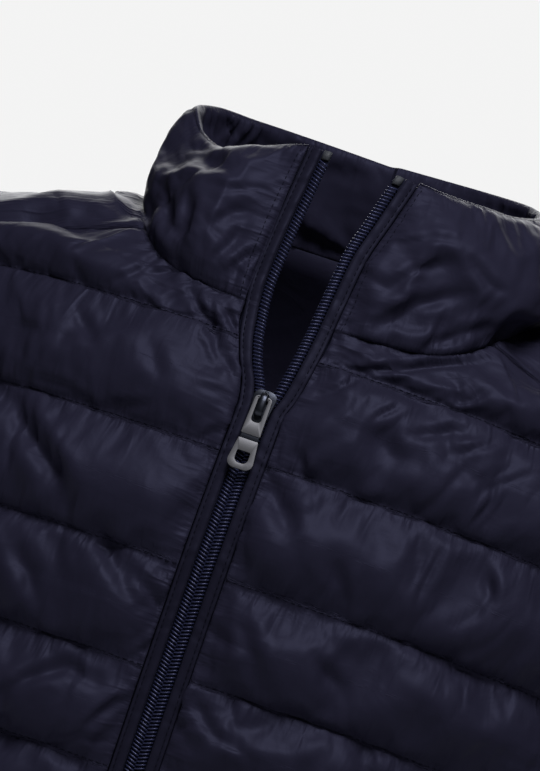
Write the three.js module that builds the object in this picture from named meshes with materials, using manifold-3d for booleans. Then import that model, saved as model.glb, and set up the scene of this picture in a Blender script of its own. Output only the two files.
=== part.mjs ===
// A quilted vest, zipped part of the way up, filled out as if worn, with nobody in it.
// Millimetres, +Z up. The front faces -Y, and the wearer's left is at +X.
// The origin lies in the middle of the neck, level with the crease where the collar meets the shoulders.
import * as THREE from "three";
import Module from "manifold-3d";

const wasm = await Module();
wasm.setup();

const degrees = Math.PI / 180;

// Driving sizes of the garment
const seamThickness = 3;
const puffHeight = 11;
const puffShare = 0.28;
const puffRoundness = 0.75;
const collarPuff = 17;
const seamGap = 0.3;
const edgeRise = 24;
const neckHalfWidth = 86;
const neckDropFront = 31;
const neckSide = 8;
const neckDropBack = 9;
const collarTopHalfWidth = 74;
const collarTopFront = 60;
const collarTopBack = 70;
const shoulderSeamAngle = 65;
const shoulderTipX = 193;
const shoulderTipDrop = 59;
const ridgeTipHeight = -46;
const ridgeStartHeight = -14.4;
const backRidgeHeight = -30;
const ridgeLineFrom = 0.2;
const ridgeLineFull = 0.5;
const ridgeTurn = 0.65;
const ridgeArch = 1.6;
const rowsPerChannel = 4;
const plainColumnStep = 2;

// The body's plain inside, level by level: x = halfWidth sin a, y = depth cos a to that power
const sections = [
  { height: 4, halfWidth: 50.4, front: 78, back: 70, power: 1.1 },
  { height: -8, halfWidth: 86, front: 82, back: 76, power: 1.1 },
  { height: -20, halfWidth: 121.6, front: 83, back: 82, power: 1.3 },
  { height: -31, halfWidth: 154.3, front: 84, back: 88, power: 1.4 },
  { height: -46, halfWidth: 198.9, front: 90, back: 95, power: 1.55 },
  { height: -60, halfWidth: 202, front: 95, back: 101, power: 1.45 },
  { height: -90, halfWidth: 202, front: 105, back: 108, power: 1.2 },
  { height: -150, halfWidth: 197, front: 117, back: 114, power: 1.0 },
  { height: -250, halfWidth: 191, front: 123, back: 113, power: 0.85 },
  { height: -450, halfWidth: 188, front: 119, back: 107, power: 0.8 },
  { height: -690, halfWidth: 195, front: 121, back: 111, power: 0.8 },
];

// Sewn lines from the chest to the hem: heights at the middle of the front and back, and at their sides
const quiltLines = [
  { front: -46, frontSide: -70, back: -52, backSide: -68 },
  { front: -95, frontSide: -107, back: -100, backSide: -108 },
  { front: -147, frontSide: -158, back: -148, backSide: -157 },
  { front: -193, frontSide: -204, back: -196, backSide: -204 },
  { front: -239, frontSide: -250, back: -243, backSide: -250 },
  { front: -287, frontSide: -293, back: -290, backSide: -293 },
  { front: -335, frontSide: -338, back: -336, backSide: -338 },
  { front: -383, frontSide: -384, back: -383, backSide: -384 },
  { front: -431, frontSide: -431, back: -431, backSide: -431 },
  { front: -479, frontSide: -479, back: -479, backSide: -479 },
  { front: -527, frontSide: -527, back: -527, backSide: -527 },
  { front: -575, frontSide: -575, back: -575, backSide: -575 },
  { front: -623, frontSide: -623, back: -623, backSide: -623 },
  { front: -668, frontSide: -668, back: -668, backSide: -668 },
  { front: -680, frontSide: -680, back: -680, backSide: -680 },
];
const lineDroop = 2.2;
const underarm = -250;

// The armhole's edge, as the angle of each level section from the middle of its own panel
const armholeFront = [
  { height: -59, angle: 73.9 },
  { height: -72, angle: 69 },
  { height: -90, angle: 63.5 },
  { height: -115, angle: 60 },
  { height: -150, angle: 58.5 },
  { height: -185, angle: 60.5 },
  { height: -215, angle: 66 },
  { height: -236, angle: 74.5 },
  { height: -246, angle: 83 },
  { height: -250, angle: 90 },
];
const armholeBack = [
  { height: -68, angle: 74.5 },
  { height: -90, angle: 70 },
  { height: -120, angle: 67.5 },
  { height: -150, angle: 67.5 },
  { height: -185, angle: 69 },
  { height: -215, angle: 73 },
  { height: -236, angle: 79.5 },
  { height: -246, angle: 85.5 },
  { height: -250, angle: 90 },
];

// How far each zip edge stands from the middle: the wearer's right edge and left edge part unevenly
const zipOpening = [
  { height: -72.5, right: 0, left: 0 },
  { height: -64, right: 2.2, left: 2.6 },
  { height: -54, right: 7.2, left: 4.2 },
  { height: -40, right: 11.7, left: 5.7 },
  { height: -18, right: 14.5, left: 7.1 },
  { height: 0, right: 14, left: 8.4 },
  { height: 20, right: 12.8, left: 12.8 },
  { height: 48, right: 11, left: 19 },
];

// The collar's upper edge round the neck, by the angle from the front
const collarTop = [
  { angle: 0, height: 42 },
  { angle: 14, height: 41 },
  { angle: 35, height: 36 },
  { angle: 60, height: 32 },
  { angle: 90, height: 36 },
  { angle: 125, height: 39 },
  { angle: 180, height: 38 },
];

// The collar's outer face, from its sewn foot to its upper edge
const collarSection = [
  { along: 0, proud: 0.18 },
  { along: 0.1, proud: 0.58 },
  { along: 0.26, proud: 0.88 },
  { along: 0.45, proud: 1 },
  { along: 0.63, proud: 1 },
  { along: 0.79, proud: 0.86 },
  { along: 0.91, proud: 0.6 },
  { along: 0.975, proud: 0.34 },
  { along: 1, proud: 0.14 },
];

// The largest folds, where the padding is pressed in: a middle, a slant and half its length and width
const folds = [
  { x: -112, height: -92, slant: 62, long: 34, wide: 9, deep: 6 },
  { x: -36, height: -66, slant: 48, long: 30, wide: 10, deep: 5 },
  { x: 62, height: -74, slant: -58, long: 26, wide: 10, deep: 4.5 },
  { x: 118, height: -78, slant: -35, long: 30, wide: 9, deep: 4.5 },
  { x: -58, height: -170, slant: 66, long: 20, wide: 10, deep: 4 },
  { x: 78, height: -168, slant: -64, long: 22, wide: 10, deep: 4 },
  { x: -96, height: -214, slant: 40, long: 24, wide: 10, deep: 3.5 },
  { x: 104, height: -122, slant: -50, long: 20, wide: 10, deep: 3.5 },
];
const collarFoldReach = 22;
const collarFolds = [
  { angle: 52, along: 0.35, slant: 0.011, wide: 0.16, deep: 5.5 },
  { angle: -34, along: 0.55, slant: -0.009, wide: 0.15, deep: 4 },
  { angle: -72, along: 0.6, slant: 0.012, wide: 0.16, deep: 4.5 },
  { angle: 96, along: 0.55, slant: -0.012, wide: 0.16, deep: 4 },
  { angle: 150, along: 0.5, slant: 0.01, wide: 0.18, deep: 3 },
  { angle: -140, along: 0.5, slant: -0.01, wide: 0.18, deep: 3 },
];

// Zip sizes, as distances from the closing line and out of the cloth
const teeth = { inner: 0.15, outer: 4.2, height: 2.6, shoulder: 0.7 };
const placket = { inner: 4.5, outer: 10.5, height: 3 };
const panelEdge = 10.8;
const armholeBinding = { inner: 0.3, outer: 5.4, height: 4.4, round: 1.1 };
const slider = {
  height: -72.5,
  length: 15,
  noseWidth: 10.4,
  tailWidth: 8.6,
  corner: 3.2,
  plateBottom: 3.1,
  plateTop: 4.7,
  backTop: -0.3,
  backBottom: -1.7,
  bridgeWidth: 3.4,
  bridgeFrom: -5.5,
  bridgeTo: 6.2,
  bridgeUnder: 7.4,
  bridgeTop: 8.7,
  postLength: 1.7,
  wedgeFrom: 4.4,
  wedgeTo: 7.9,
  wedgeHalfWidth: 1.2,
};
const pull = {
  hingeAlong: 3.3,
  hingeOut: 6.05,
  tilt: 2.5,
  length: 33.5,
  thickness: 1.5,
  pinRadius: 0.85,
  armInner: 2.5,
  armOuter: 3.9,
  armTop: 1.4,
  armTrim: 0.9,
  windowEnd: -11.5,
  plateBottomHalf: 5.85,
  plateCorner: 2.6,
  holeFrom: -30.4,
  holeTo: -25.2,
  holeHalf: 3.1,
  holeCorner: 2,
};

// Colours
const navyCloth = new THREE.MeshStandardMaterial({ color: 0x1d1f30, roughness: 0.5, metalness: 0 });
const navyTape = new THREE.MeshStandardMaterial({ color: 0x171a2e, roughness: 0.8, metalness: 0 });
const darkMetal = new THREE.MeshStandardMaterial({ color: 0x3a3d45, roughness: 0.35, metalness: 0.9 });
const greyMetal = new THREE.MeshStandardMaterial({ color: 0x6c6f78, roughness: 0.45, metalness: 0.8 });

const mix = (a, b, t) => a + (b - a) * t;
const clamp01 = (t) => Math.min(1, Math.max(0, t));
const ease = (t) => clamp01(t) ** 2 * (3 - 2 * clamp01(t));

// A smooth curve through a table's rows that never overshoots them
function read(table, by, key, at) {
  const rows = table[0][by] <= table[table.length - 1][by] ? table : [...table].reverse();
  const last = rows.length - 1;
  const place = Math.min(Math.max(at, rows[0][by]), rows[last][by]);
  const step = (i) => rows[i + 1][by] - rows[i][by];
  const slope = (i) => (rows[i + 1][key] - rows[i][key]) / step(i);
  const bend = (i) => {
    if (i === 0) return slope(0);
    if (i === last) return slope(last - 1);
    const before = slope(i - 1);
    const after = slope(i);
    return before * after <= 0 ? 0 : (2 * before * after) / (before + after);
  };
  let i = 0;
  while (i < last - 1 && place > rows[i + 1][by]) i += 1;
  const t = (place - rows[i][by]) / step(i);
  const start = rows[i][key] * (1 + 2 * t) * (1 - t) ** 2 + rows[i + 1][key] * (3 - 2 * t) * t ** 2;
  return start + step(i) * (bend(i) * t * (1 - t) ** 2 - bend(i + 1) * (1 - t) * t ** 2);
}

// A point of the body's plain inside: angle 0 is the middle of the front, 180 the middle of the back
function bodyPoint(angle, height) {
  const turn = angle * degrees;
  const across = Math.cos(turn);
  const power = read(sections, "height", "power", height);
  const depth = read(sections, "height", across > 0 ? "front" : "back", height);
  const x = read(sections, "height", "halfWidth", height) * Math.sin(turn);
  return new THREE.Vector3(x, -Math.sign(across) * depth * Math.abs(across) ** power, height);
}

function bodyNormal(angle, height) {
  const turnStep = 1.5;
  const heightStep = 1.5;
  const round = bodyPoint(angle + turnStep, height).sub(bodyPoint(angle - turnStep, height));
  const up = bodyPoint(angle, height + heightStep).sub(bodyPoint(angle, height - heightStep));
  return round.cross(up).normalize();
}

function angleAt(x, height, onBack) {
  const reach = Math.min(1, x / read(sections, "height", "halfWidth", height));
  const angle = Math.asin(reach) / degrees;
  return onBack ? 180 - angle : angle;
}

const openingAt = (side, height) =>
  height < zipOpening[0].height ? 0 : read(zipOpening, "height", side > 0 ? "left" : "right", height);

// Where the collar is sewn on: ring angle 0 is the front, 180 the back
function neckSeam(ringAngle) {
  const around = Math.sin(ringAngle * degrees);
  const front = ringAngle < 90;
  const low = front ? -neckDropFront : -neckDropBack;
  const height = low + (-neckSide - low) * around ** 6;
  const x = neckHalfWidth * around;
  return { angle: angleAt(x, height, !front), height };
}

// The collar's plain inner face, from its foot at 0 to its upper edge at 1
function collarPoint(ringAngle, along) {
  const turn = ringAngle * degrees;
  const seam = neckSeam(ringAngle);
  const foot = bodyPoint(seam.angle, seam.height);
  const middle = (collarTopBack - collarTopFront) / 2;
  const reach = (collarTopBack + collarTopFront) / 2;
  const height = read(collarTop, "angle", "height", ringAngle);
  const edge = new THREE.Vector3(collarTopHalfWidth * Math.sin(turn), middle - reach * Math.cos(turn), height);
  return foot.lerp(edge, along);
}

function collarNormal(ringAngle, along) {
  const turnStep = 2;
  const alongStep = 0.05;
  const from = Math.max(0, along - alongStep);
  const to = Math.min(1, along + alongStep);
  const around = Math.max(turnStep, Math.min(180 - turnStep, ringAngle));
  const round = collarPoint(around + turnStep, along).sub(collarPoint(around - turnStep, along));
  const up = collarPoint(ringAngle, to).sub(collarPoint(ringAngle, from));
  return round.cross(up).normalize();
}

// At the neck both walls end on one slanted face, half way between the two
const neckMitre = (ringAngle) => {
  const seam = neckSeam(ringAngle);
  return bodyNormal(seam.angle, seam.height).add(collarNormal(ringAngle, 0)).normalize();
};

// The ring angle at which the collar's front edge stands beside the zip
function collarEdgeAngle(side, along, away) {
  let ringAngle = 10;
  for (let round = 0; round < 6; round += 1) {
    const point = collarPoint(ringAngle, along);
    const wanted = openingAt(side, point.z) + away;
    const reach = mix(neckHalfWidth, collarTopHalfWidth, along);
    ringAngle = Math.asin(wanted / reach) / degrees;
  }
  return ringAngle;
}

const mirrored = (point, side) => new THREE.Vector3(side * point.x, point.y, point.z);

// Columns of the two kinds of panel, as shares of their neck part and their shoulder part
const frontNeckShares = [0, 0.1, 0.25, 0.45, 0.65, 0.83, 1];
const shoulderShares = [0.15, 0.3, 0.45, 0.6, 0.73, 0.85, 0.94, 1];
const backNeckColumns = 10;
const frontNeckPart = 0.35;
const backNeckPart = 0.42;

const frontNeckAngles = (side) => {
  const start = collarEdgeAngle(side, 0, panelEdge);
  return frontNeckShares.map((share) => mix(start, shoulderSeamAngle, share));
};
const backNeckAngles = Array.from({ length: backNeckColumns + 1 }, (_, i) =>
  mix(180, shoulderSeamAngle, i / backNeckColumns),
);

function shoulderSeam(share, onBack) {
  const start = neckSeam(shoulderSeamAngle);
  const startX = neckHalfWidth * Math.sin(shoulderSeamAngle * degrees);
  const height = mix(start.height, -shoulderTipDrop, share);
  return { angle: angleAt(mix(startX, shoulderTipX, share), height, onBack), height };
}

function shoulderRidge(share) {
  return { angle: 90, height: mix(ridgeStartHeight, ridgeTipHeight, share) };
}

// Each panel column: its place along the sewn lines, and its top point
function frontColumns(side) {
  const neck = frontNeckAngles(side).map((ringAngle, i) => ({
    place: frontNeckPart * frontNeckShares[i],
    top: neckSeam(ringAngle),
    mitre: neckMitre(ringAngle),
  }));
  const shoulder = shoulderShares.map((share) => ({
    place: mix(frontNeckPart, 1, share),
    top: shoulderSeam(share, false),
  }));
  return [...neck, ...shoulder];
}

function backColumns() {
  const neck = backNeckAngles.map((ringAngle, i) => {
    const share = i / backNeckColumns;
    return {
      place: backNeckPart * share,
      top: neckSeam(ringAngle),
      ridge: { angle: 180 - 90 * share, height: mix(backRidgeHeight, ridgeStartHeight, share ** 2) },
      mitre: neckMitre(ringAngle),
    };
  });
  const shoulder = shoulderShares.map((share) => ({
    place: mix(backNeckPart, 1, share),
    top: shoulderSeam(share, false),
    ridge: shoulderRidge(share),
  }));
  return [...neck, ...shoulder];
}

const between = (from, to, t) => ({
  angle: mix(from.angle, to.angle, t),
  height: mix(from.height, to.height, t),
});

// Over the shoulder's ridge the rows crowd together in angle and spread in height, so that edges arch smoothly
const upToRidge = (from, to, t) => ({
  angle: mix(to.angle, from.angle, (1 - t) ** ridgeTurn),
  height: mix(to.height, from.height, (1 - t) ** ridgeArch),
});
const downFromRidge = (from, to, t) => ({
  angle: mix(from.angle, to.angle, t ** ridgeTurn),
  height: mix(from.height, to.height, t ** ridgeArch),
});

function frontLine(side, middle, edge, place) {
  const start = angleAt(openingAt(side, middle) + panelEdge, middle, false);
  const end = edge < underarm ? 90 : read(armholeFront, "height", "angle", edge);
  return { angle: mix(start, end, place), height: mix(middle, edge, place ** lineDroop) };
}

function backLine(middle, edge, place) {
  const end = edge < underarm ? 90 : read(armholeBack, "height", "angle", edge);
  return { angle: 180 - end * place, height: mix(middle, edge, place ** lineDroop) };
}

// Surface places of a front panel, row by row from the neck to the hem
function frontRows(side) {
  const columns = frontColumns(side);
  const rows = [];
  const first = quiltLines[0];
  for (let row = 0; row < rowsPerChannel; row += 1) {
    const share = row / rowsPerChannel;
    const line = (column) => frontLine(side, first.front, first.frontSide, column.place);
    rows.push({ channel: 0, share, places: columns.map((column) => between(column.top, line(column), share)) });
  }
  for (let channel = 1; channel < quiltLines.length; channel += 1) {
    const above = quiltLines[channel - 1];
    const below = quiltLines[channel];
    for (let row = 0; row < rowsPerChannel; row += 1) {
      const share = row / rowsPerChannel;
      const middle = mix(above.front, below.front, share);
      const edge = mix(above.frontSide, below.frontSide, share);
      const places = columns.map((column) => frontLine(side, middle, edge, column.place));
      rows.push({ channel, share, places });
    }
  }
  const hem = quiltLines[quiltLines.length - 1];
  const places = columns.map((column) => frontLine(side, hem.front, hem.frontSide, column.place));
  rows.push({ channel: quiltLines.length - 1, share: 1, places });
  return { columns, rows };
}

// The same for one half of the back, which starts with two channels over the shoulder
function backRows() {
  const columns = backColumns();
  const rows = [];
  const first = quiltLines[0];
  for (let row = 0; row < rowsPerChannel; row += 1) {
    const share = row / rowsPerChannel;
    rows.push({ channel: -1, share, places: columns.map((column) => upToRidge(column.top, column.ridge, share)) });
  }
  for (let row = 0; row < rowsPerChannel; row += 1) {
    const share = row / rowsPerChannel;
    const line = (column) => backLine(first.back, first.backSide, column.place);
    rows.push({ channel: 0, share, places: columns.map((column) => downFromRidge(column.ridge, line(column), share)) });
  }
  for (let channel = 1; channel < quiltLines.length; channel += 1) {
    const above = quiltLines[channel - 1];
    const below = quiltLines[channel];
    for (let row = 0; row < rowsPerChannel; row += 1) {
      const share = row / rowsPerChannel;
      const middle = mix(above.back, below.back, share);
      const edge = mix(above.backSide, below.backSide, share);
      rows.push({ channel, share, places: columns.map((column) => backLine(middle, edge, column.place)) });
    }
  }
  const hem = quiltLines[quiltLines.length - 1];
  const places = columns.map((column) => backLine(hem.back, hem.backSide, column.place));
  rows.push({ channel: quiltLines.length - 1, share: 1, places });
  return { columns, rows };
}

// How full the padding is between two sewn lines
const fullness = (share) => Math.sin(Math.PI * clamp01(share)) ** puffRoundness;

function foldDepth(point) {
  let depth = 0;
  for (const fold of folds) {
    const slant = fold.slant * degrees;
    const dx = point.x - fold.x;
    const dz = point.z - fold.height;
    const along = (dx * Math.cos(slant) - dz * Math.sin(slant)) / fold.long;
    const across = (dx * Math.sin(slant) + dz * Math.cos(slant)) / fold.wide;
    depth += fold.deep * Math.exp(-(along ** 2) - across ** 2);
  }
  return depth;
}

// The last channel is the turned hem, which is flat
function paddingAt(row, column, onBack) {
  const hemChannel = quiltLines.length - 1;
  if (row.channel === hemChannel) return 0;
  if (!onBack || row.channel > 0) return fullness(row.share);
  const joined = fullness((row.channel + 1 + row.share) / 2);
  return mix(joined, fullness(row.share), ease((column.place - ridgeLineFrom) / (ridgeLineFull - ridgeLineFrom)));
}

// A panel's plain inner points and raised outer points
function panelGrid(side, { columns, rows }, onBack) {
  const inner = rows.map((row) => row.places.map((place) => bodyPoint(place.angle, place.height)));
  const last = rows.length - 1;
  const lastColumn = columns.length - 1;
  const outer = rows.map((row, r) =>
    row.places.map((place, c) => {
      const atTop = r === 0 && columns[c].mitre;
      const normal = atTop ? columns[c].mitre : bodyNormal(place.angle, place.height);
      const rises = [inner[r][c].distanceTo(inner[r][lastColumn])];
      if (!onBack) rises.push(inner[r][c].distanceTo(inner[r][0]));
      const nearEdge = Math.sin((Math.min(...rises, edgeRise) / edgeRise) * (Math.PI / 2));
      const start = r - (r % rowsPerChannel);
      const width = inner[start][c].distanceTo(inner[Math.min(start + rowsPerChannel, last)][c]);
      const crest = Math.min(puffHeight, width * puffShare);
      const full = crest * paddingAt(row, columns[c], onBack) * nearEdge;
      const fold = onBack ? 0 : foldDepth(mirrored(inner[r][c], side));
      const raised = seamThickness + Math.max(full - fold * (full / puffHeight), 0);
      return inner[r][c].clone().addScaledVector(normal, raised);
    }),
  );
  return { inner, outer };
}

// Moves one edge of a wall in by half a seam gap, square to the edge, so that two pieces never touch
function drawIn({ inner, outer }, edge, next) {
  const places = edge.map(([r, c]) => inner[r][c].clone());
  const nextPlaces = next.map(([r, c]) => inner[r][c].clone());
  edge.forEach(([r, c], i) => {
    const before = places[Math.max(i - 1, 0)];
    const after = places[Math.min(i + 1, places.length - 1)];
    const along = after.clone().sub(before).normalize();
    const inward = nextPlaces[i].clone().sub(places[i]);
    inward.addScaledVector(along, -inward.dot(along)).normalize();
    for (const face of [inner, outer]) face[r][c].addScaledVector(inward, seamGap / 2);
  });
}

const rowPlaces = (grid, r) => grid.inner[r].map((_, c) => [r, c]);
const columnPlaces = (grid, c) => grid.inner.map((_, r) => [r, c]);

function drawInTop(grid) {
  drawIn(grid, rowPlaces(grid, 0), rowPlaces(grid, 1));
}

function drawInSide(grid, c, next) {
  drawIn(grid, columnPlaces(grid, c), columnPlaces(grid, next));
}

function meshGeometry(points, faces) {
  const positions = points.flatMap((point) => [point.x, point.y, point.z]);
  const geometry = new THREE.BufferGeometry();
  geometry.setAttribute("position", new THREE.Float32BufferAttribute(positions, 3));
  let volume = 0;
  for (const [a, b, c] of faces) volume += points[a].dot(points[b].clone().cross(points[c]));
  const outward = volume > 0 ? faces : faces.map(([a, b, c]) => [a, c, b]);
  geometry.setIndex(outward.flat());
  geometry.computeVertexNormals();
  return geometry;
}

// Closes a wall: every outer point, only the named rows and columns of inner ones, and the rims between
function wallGeometry({ inner, outer }, plainRows, plainColumns) {
  const points = [];
  const add = (point) => points.push(point) - 1;
  const outside = outer.map((row) => row.map(add));
  const inside = inner.map((row, r) =>
    row.map((point, c) => (plainRows.includes(r) && plainColumns.includes(c) ? add(point) : null)),
  );
  const lastRow = outer.length - 1;
  const lastColumn = outer[0].length - 1;
  const faces = [];
  const quad = (a, b, c, d) => faces.push([a, b, c], [a, c, d]);
  for (let r = 0; r < lastRow; r += 1) {
    for (let c = 0; c < lastColumn; c += 1) {
      quad(outside[r][c], outside[r][c + 1], outside[r + 1][c + 1], outside[r + 1][c]);
    }
  }
  plainRows.slice(1).forEach((down, i) => {
    const up = plainRows[i];
    plainColumns.slice(1).forEach((across, j) => {
      const near = plainColumns[j];
      quad(inside[up][near], inside[down][near], inside[down][across], inside[up][across]);
    });
  });
  // Each rim leans half of its outer points on one inner point and half on the next, so seams match
  const rim = (outerLine, innerLine) => {
    const kept = innerLine.map((point, i) => (point === null ? -1 : i)).filter((i) => i >= 0);
    kept.slice(1).forEach((end, k) => {
      const start = kept[k];
      const half = (start + end) / 2;
      for (let j = start; j < end; j += 1) {
        const lean = j + 0.5 < half ? start : end;
        if (lean === end && j - 0.5 < half) faces.push([outerLine[j], innerLine[start], innerLine[end]]);
        faces.push([outerLine[j + 1], outerLine[j], innerLine[lean]]);
      }
    });
  };
  const column = (face, c) => face.map((row) => row[c]);
  rim(outside[0], inside[0]);
  rim(column(outside, lastColumn), column(inside, lastColumn));
  rim([...outside[lastRow]].reverse(), [...inside[lastRow]].reverse());
  rim(column(outside, 0).reverse(), column(inside, 0).reverse());
  return meshGeometry(points, faces);
}

const everySecond = (columns) => columns.map((_, c) => c).filter((c) => c % plainColumnStep === 0);

// Rows of the plain inside: all of them beside the armholes, and only the sewn lines below
function plainRowsOf(rows) {
  const isPlain = (row, r) => row.places[row.places.length - 1].height >= underarm || r % rowsPerChannel === 0;
  return rows.map((row, r) => (isPlain(row, r) ? r : -1)).filter((r) => r >= 0);
}

// Joins a run of section outlines into a closed strip or a ring
function stripGeometry(stations, isRing) {
  const corners = stations[0].length;
  const points = stations.flat();
  const faces = [];
  const spans = isRing ? stations.length : stations.length - 1;
  for (let i = 0; i < spans; i += 1) {
    const here = i * corners;
    const next = ((i + 1) % stations.length) * corners;
    for (let k = 0; k < corners; k += 1) {
      const other = (k + 1) % corners;
      faces.push([here + k, here + other, next + other], [here + k, next + other, next + k]);
    }
  }
  if (!isRing) {
    const end = (stations.length - 1) * corners;
    for (let k = 1; k < corners - 1; k += 1) {
      faces.push([0, k + 1, k], [end, end + k, end + k + 1]);
    }
  }
  return meshGeometry(points, faces);
}

const pieces = new THREE.Group();
function addPiece(name, geometry, material) {
  const mesh = new THREE.Mesh(geometry, material);
  mesh.name = name;
  pieces.add(mesh);
  return mesh;
}

// Front panels
const frontSides = [
  { name: "front_right", side: -1 },
  { name: "front_left", side: 1 },
];
const panelEdges = {};
for (const { name, side } of frontSides) {
  const layout = frontRows(side);
  const grid = panelGrid(side, layout, false);
  panelEdges[side] = layout.rows.map((row) => row.places[row.places.length - 1]);
  drawInTop(grid);
  drawInSide(grid, 0, 1);
  drawInSide(grid, layout.columns.length - 1, layout.columns.length - 2);
  const place = (face) => face.map((row) => row.map((point) => mirrored(point, side)));
  const placed = { inner: place(grid.inner), outer: place(grid.outer) };
  addPiece(name, wallGeometry(placed, plainRowsOf(layout.rows), everySecond(layout.columns)), navyCloth);
}

// Back panel, one piece from side seam to side seam and over both shoulders
const backLayout = backRows();
const backHalf = panelGrid(1, backLayout, true);
drawInTop(backHalf);
drawInSide(backHalf, backLayout.columns.length - 1, backLayout.columns.length - 2);
const wholeRow = (row) => [...row.slice(1).reverse().map((point) => mirrored(point, -1)), ...row];
const backGrid = { inner: backHalf.inner.map(wholeRow), outer: backHalf.outer.map(wholeRow) };
addPiece("back", wallGeometry(backGrid, plainRowsOf(backLayout.rows), everySecond(backGrid.inner[0])), navyCloth);

// Collar, one padded piece from zip to zip
function collarFoldDepth(angle, along) {
  let depth = 0;
  for (const fold of collarFolds) {
    const offset = (along - fold.along - (angle - fold.angle) * fold.slant) / fold.wide;
    const reach = (angle - fold.angle) / collarFoldReach;
    depth += fold.deep * Math.exp(-(offset ** 2) - reach ** 2);
  }
  return depth;
}

function collarColumn(side, ringAngleAt, edgeDistance) {
  const inner = [];
  const outer = [];
  for (const { along, proud } of collarSection) {
    const ringAngle = ringAngleAt(along);
    const point = collarPoint(ringAngle, along);
    const nearEdge = Math.sin((Math.min(edgeDistance(ringAngle), edgeRise) / edgeRise) * (Math.PI / 2));
    const full = Math.max(collarPuff * proud - collarFoldDepth(side * ringAngle, along) * proud, 0);
    const raised = mix(seamThickness, Math.max(full, seamThickness), nearEdge);
    const normal = along === 0 ? neckMitre(ringAngle) : collarNormal(ringAngle, along);
    inner.push(mirrored(point, side));
    outer.push(mirrored(point.clone().addScaledVector(normal, along === 0 ? seamThickness : raised), side));
  }
  return { inner, outer };
}

const collarColumns = [];
for (const side of [-1, 1]) {
  const start = frontNeckAngles(side)[0];
  const arc = (ringAngle) => (ringAngle - start) * degrees * neckHalfWidth;
  const front = frontNeckAngles(side).map((footAngle, i) =>
    collarColumn(
      side,
      (along) => mix(collarEdgeAngle(side, along, panelEdge), shoulderSeamAngle, frontNeckShares[i]),
      () => arc(footAngle),
    ),
  );
  const back = [...backNeckAngles]
    .reverse()
    .slice(1)
    .map((ringAngle) => collarColumn(side, () => ringAngle, () => edgeRise));
  const half = [...front, ...back];
  collarColumns.push(...(side < 0 ? half : half.slice(0, -1).reverse()));
}
const turned = (face) => collarSection.map((_, row) => collarColumns.map((column) => column[face][row]));
const collarGrid = { inner: turned("inner"), outer: turned("outer") };
drawInTop(collarGrid);
drawInSide(collarGrid, 0, 1);
drawInSide(collarGrid, collarColumns.length - 1, collarColumns.length - 2);
const collarRows = collarSection.map((_, r) => r);
addPiece("collar", wallGeometry(collarGrid, collarRows, everySecond(collarColumns)), navyCloth);

// The line of the zip from the hem to the collar's upper edge, with its two directions
function zipStations(side) {
  const heights = frontRows(side).rows.map((row) => row.places[0].height).reverse();
  const body = heights.map((height) => ({
    at: (away) => bodyPoint(angleAt(openingAt(side, height) + away, height, false), height),
    out: bodyNormal(angleAt(openingAt(side, height) + placket.inner, height, false), height),
  }));
  const collar = collarSection.slice(1).map(({ along }) => ({
    at: (away) => collarPoint(collarEdgeAngle(side, along, away), along),
    out: collarNormal(collarEdgeAngle(side, along, placket.inner), along),
  }));
  body[body.length - 1].out = neckMitre(collarEdgeAngle(side, 0, placket.inner));
  return [...body, ...collar];
}

// Zip tapes with a plain row of teeth, and the flat strips sewn beside them
const teethSection = [
  { away: teeth.inner, out: 0 },
  { away: teeth.outer, out: 0 },
  { away: teeth.outer, out: teeth.height - teeth.shoulder },
  { away: teeth.outer - teeth.shoulder, out: teeth.height },
  { away: teeth.inner, out: teeth.height },
];
const placketSection = [
  { away: placket.inner, out: 0 },
  { away: placket.outer, out: 0 },
  { away: placket.outer, out: placket.height },
  { away: placket.inner, out: placket.height },
];
for (const { name, side } of frontSides) {
  const word = name.replace("front_", "");
  const stations = zipStations(side);
  const swept = (section) =>
    stations.map((station) =>
      section.map(({ away, out }) => mirrored(station.at(away).addScaledVector(station.out, out), side)),
    );
  addPiece(`zip_tape_${word}`, stripGeometry(swept(teethSection), false), navyTape);
  addPiece(`placket_${word}`, stripGeometry(swept(placketSection), false), navyCloth);
}

// Narrow bindings round the armholes
const bindingSection = [
  { away: armholeBinding.inner, out: 0 },
  { away: armholeBinding.outer - armholeBinding.round, out: 0 },
  { away: armholeBinding.outer, out: armholeBinding.height / 2 },
  { away: armholeBinding.outer - armholeBinding.round, out: armholeBinding.height },
  { away: armholeBinding.inner, out: armholeBinding.height },
];
const isOnArmhole = (place) => place.height >= underarm;
for (const { name, side } of frontSides) {
  const word = name.replace("front_", "");
  const frontEdge = panelEdges[side].filter(isOnArmhole);
  const backEdge = backLayout.rows.map((row) => row.places[row.places.length - 1]).filter(isOnArmhole);
  const loop = [...frontEdge, ...backEdge.slice(1, -1).reverse()];
  const points = loop.map((place) => bodyPoint(place.angle, place.height));
  const middle = points.reduce((sum, point) => sum.add(point), new THREE.Vector3()).divideScalar(points.length);
  const stations = loop.map((place, i) => {
    const before = points[(i + loop.length - 1) % loop.length];
    const after = points[(i + 1) % loop.length];
    const normal = bodyNormal(place.angle, place.height);
    const inward = after.clone().sub(before).cross(normal).normalize();
    if (inward.dot(middle.clone().sub(points[i])) < 0) inward.negate();
    return bindingSection.map(({ away, out }) =>
      mirrored(points[i].clone().addScaledVector(inward, away).addScaledVector(normal, out), side),
    );
  });
  addPiece(`armhole_binding_${word}`, stripGeometry(stations, true), navyCloth);
}

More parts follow.
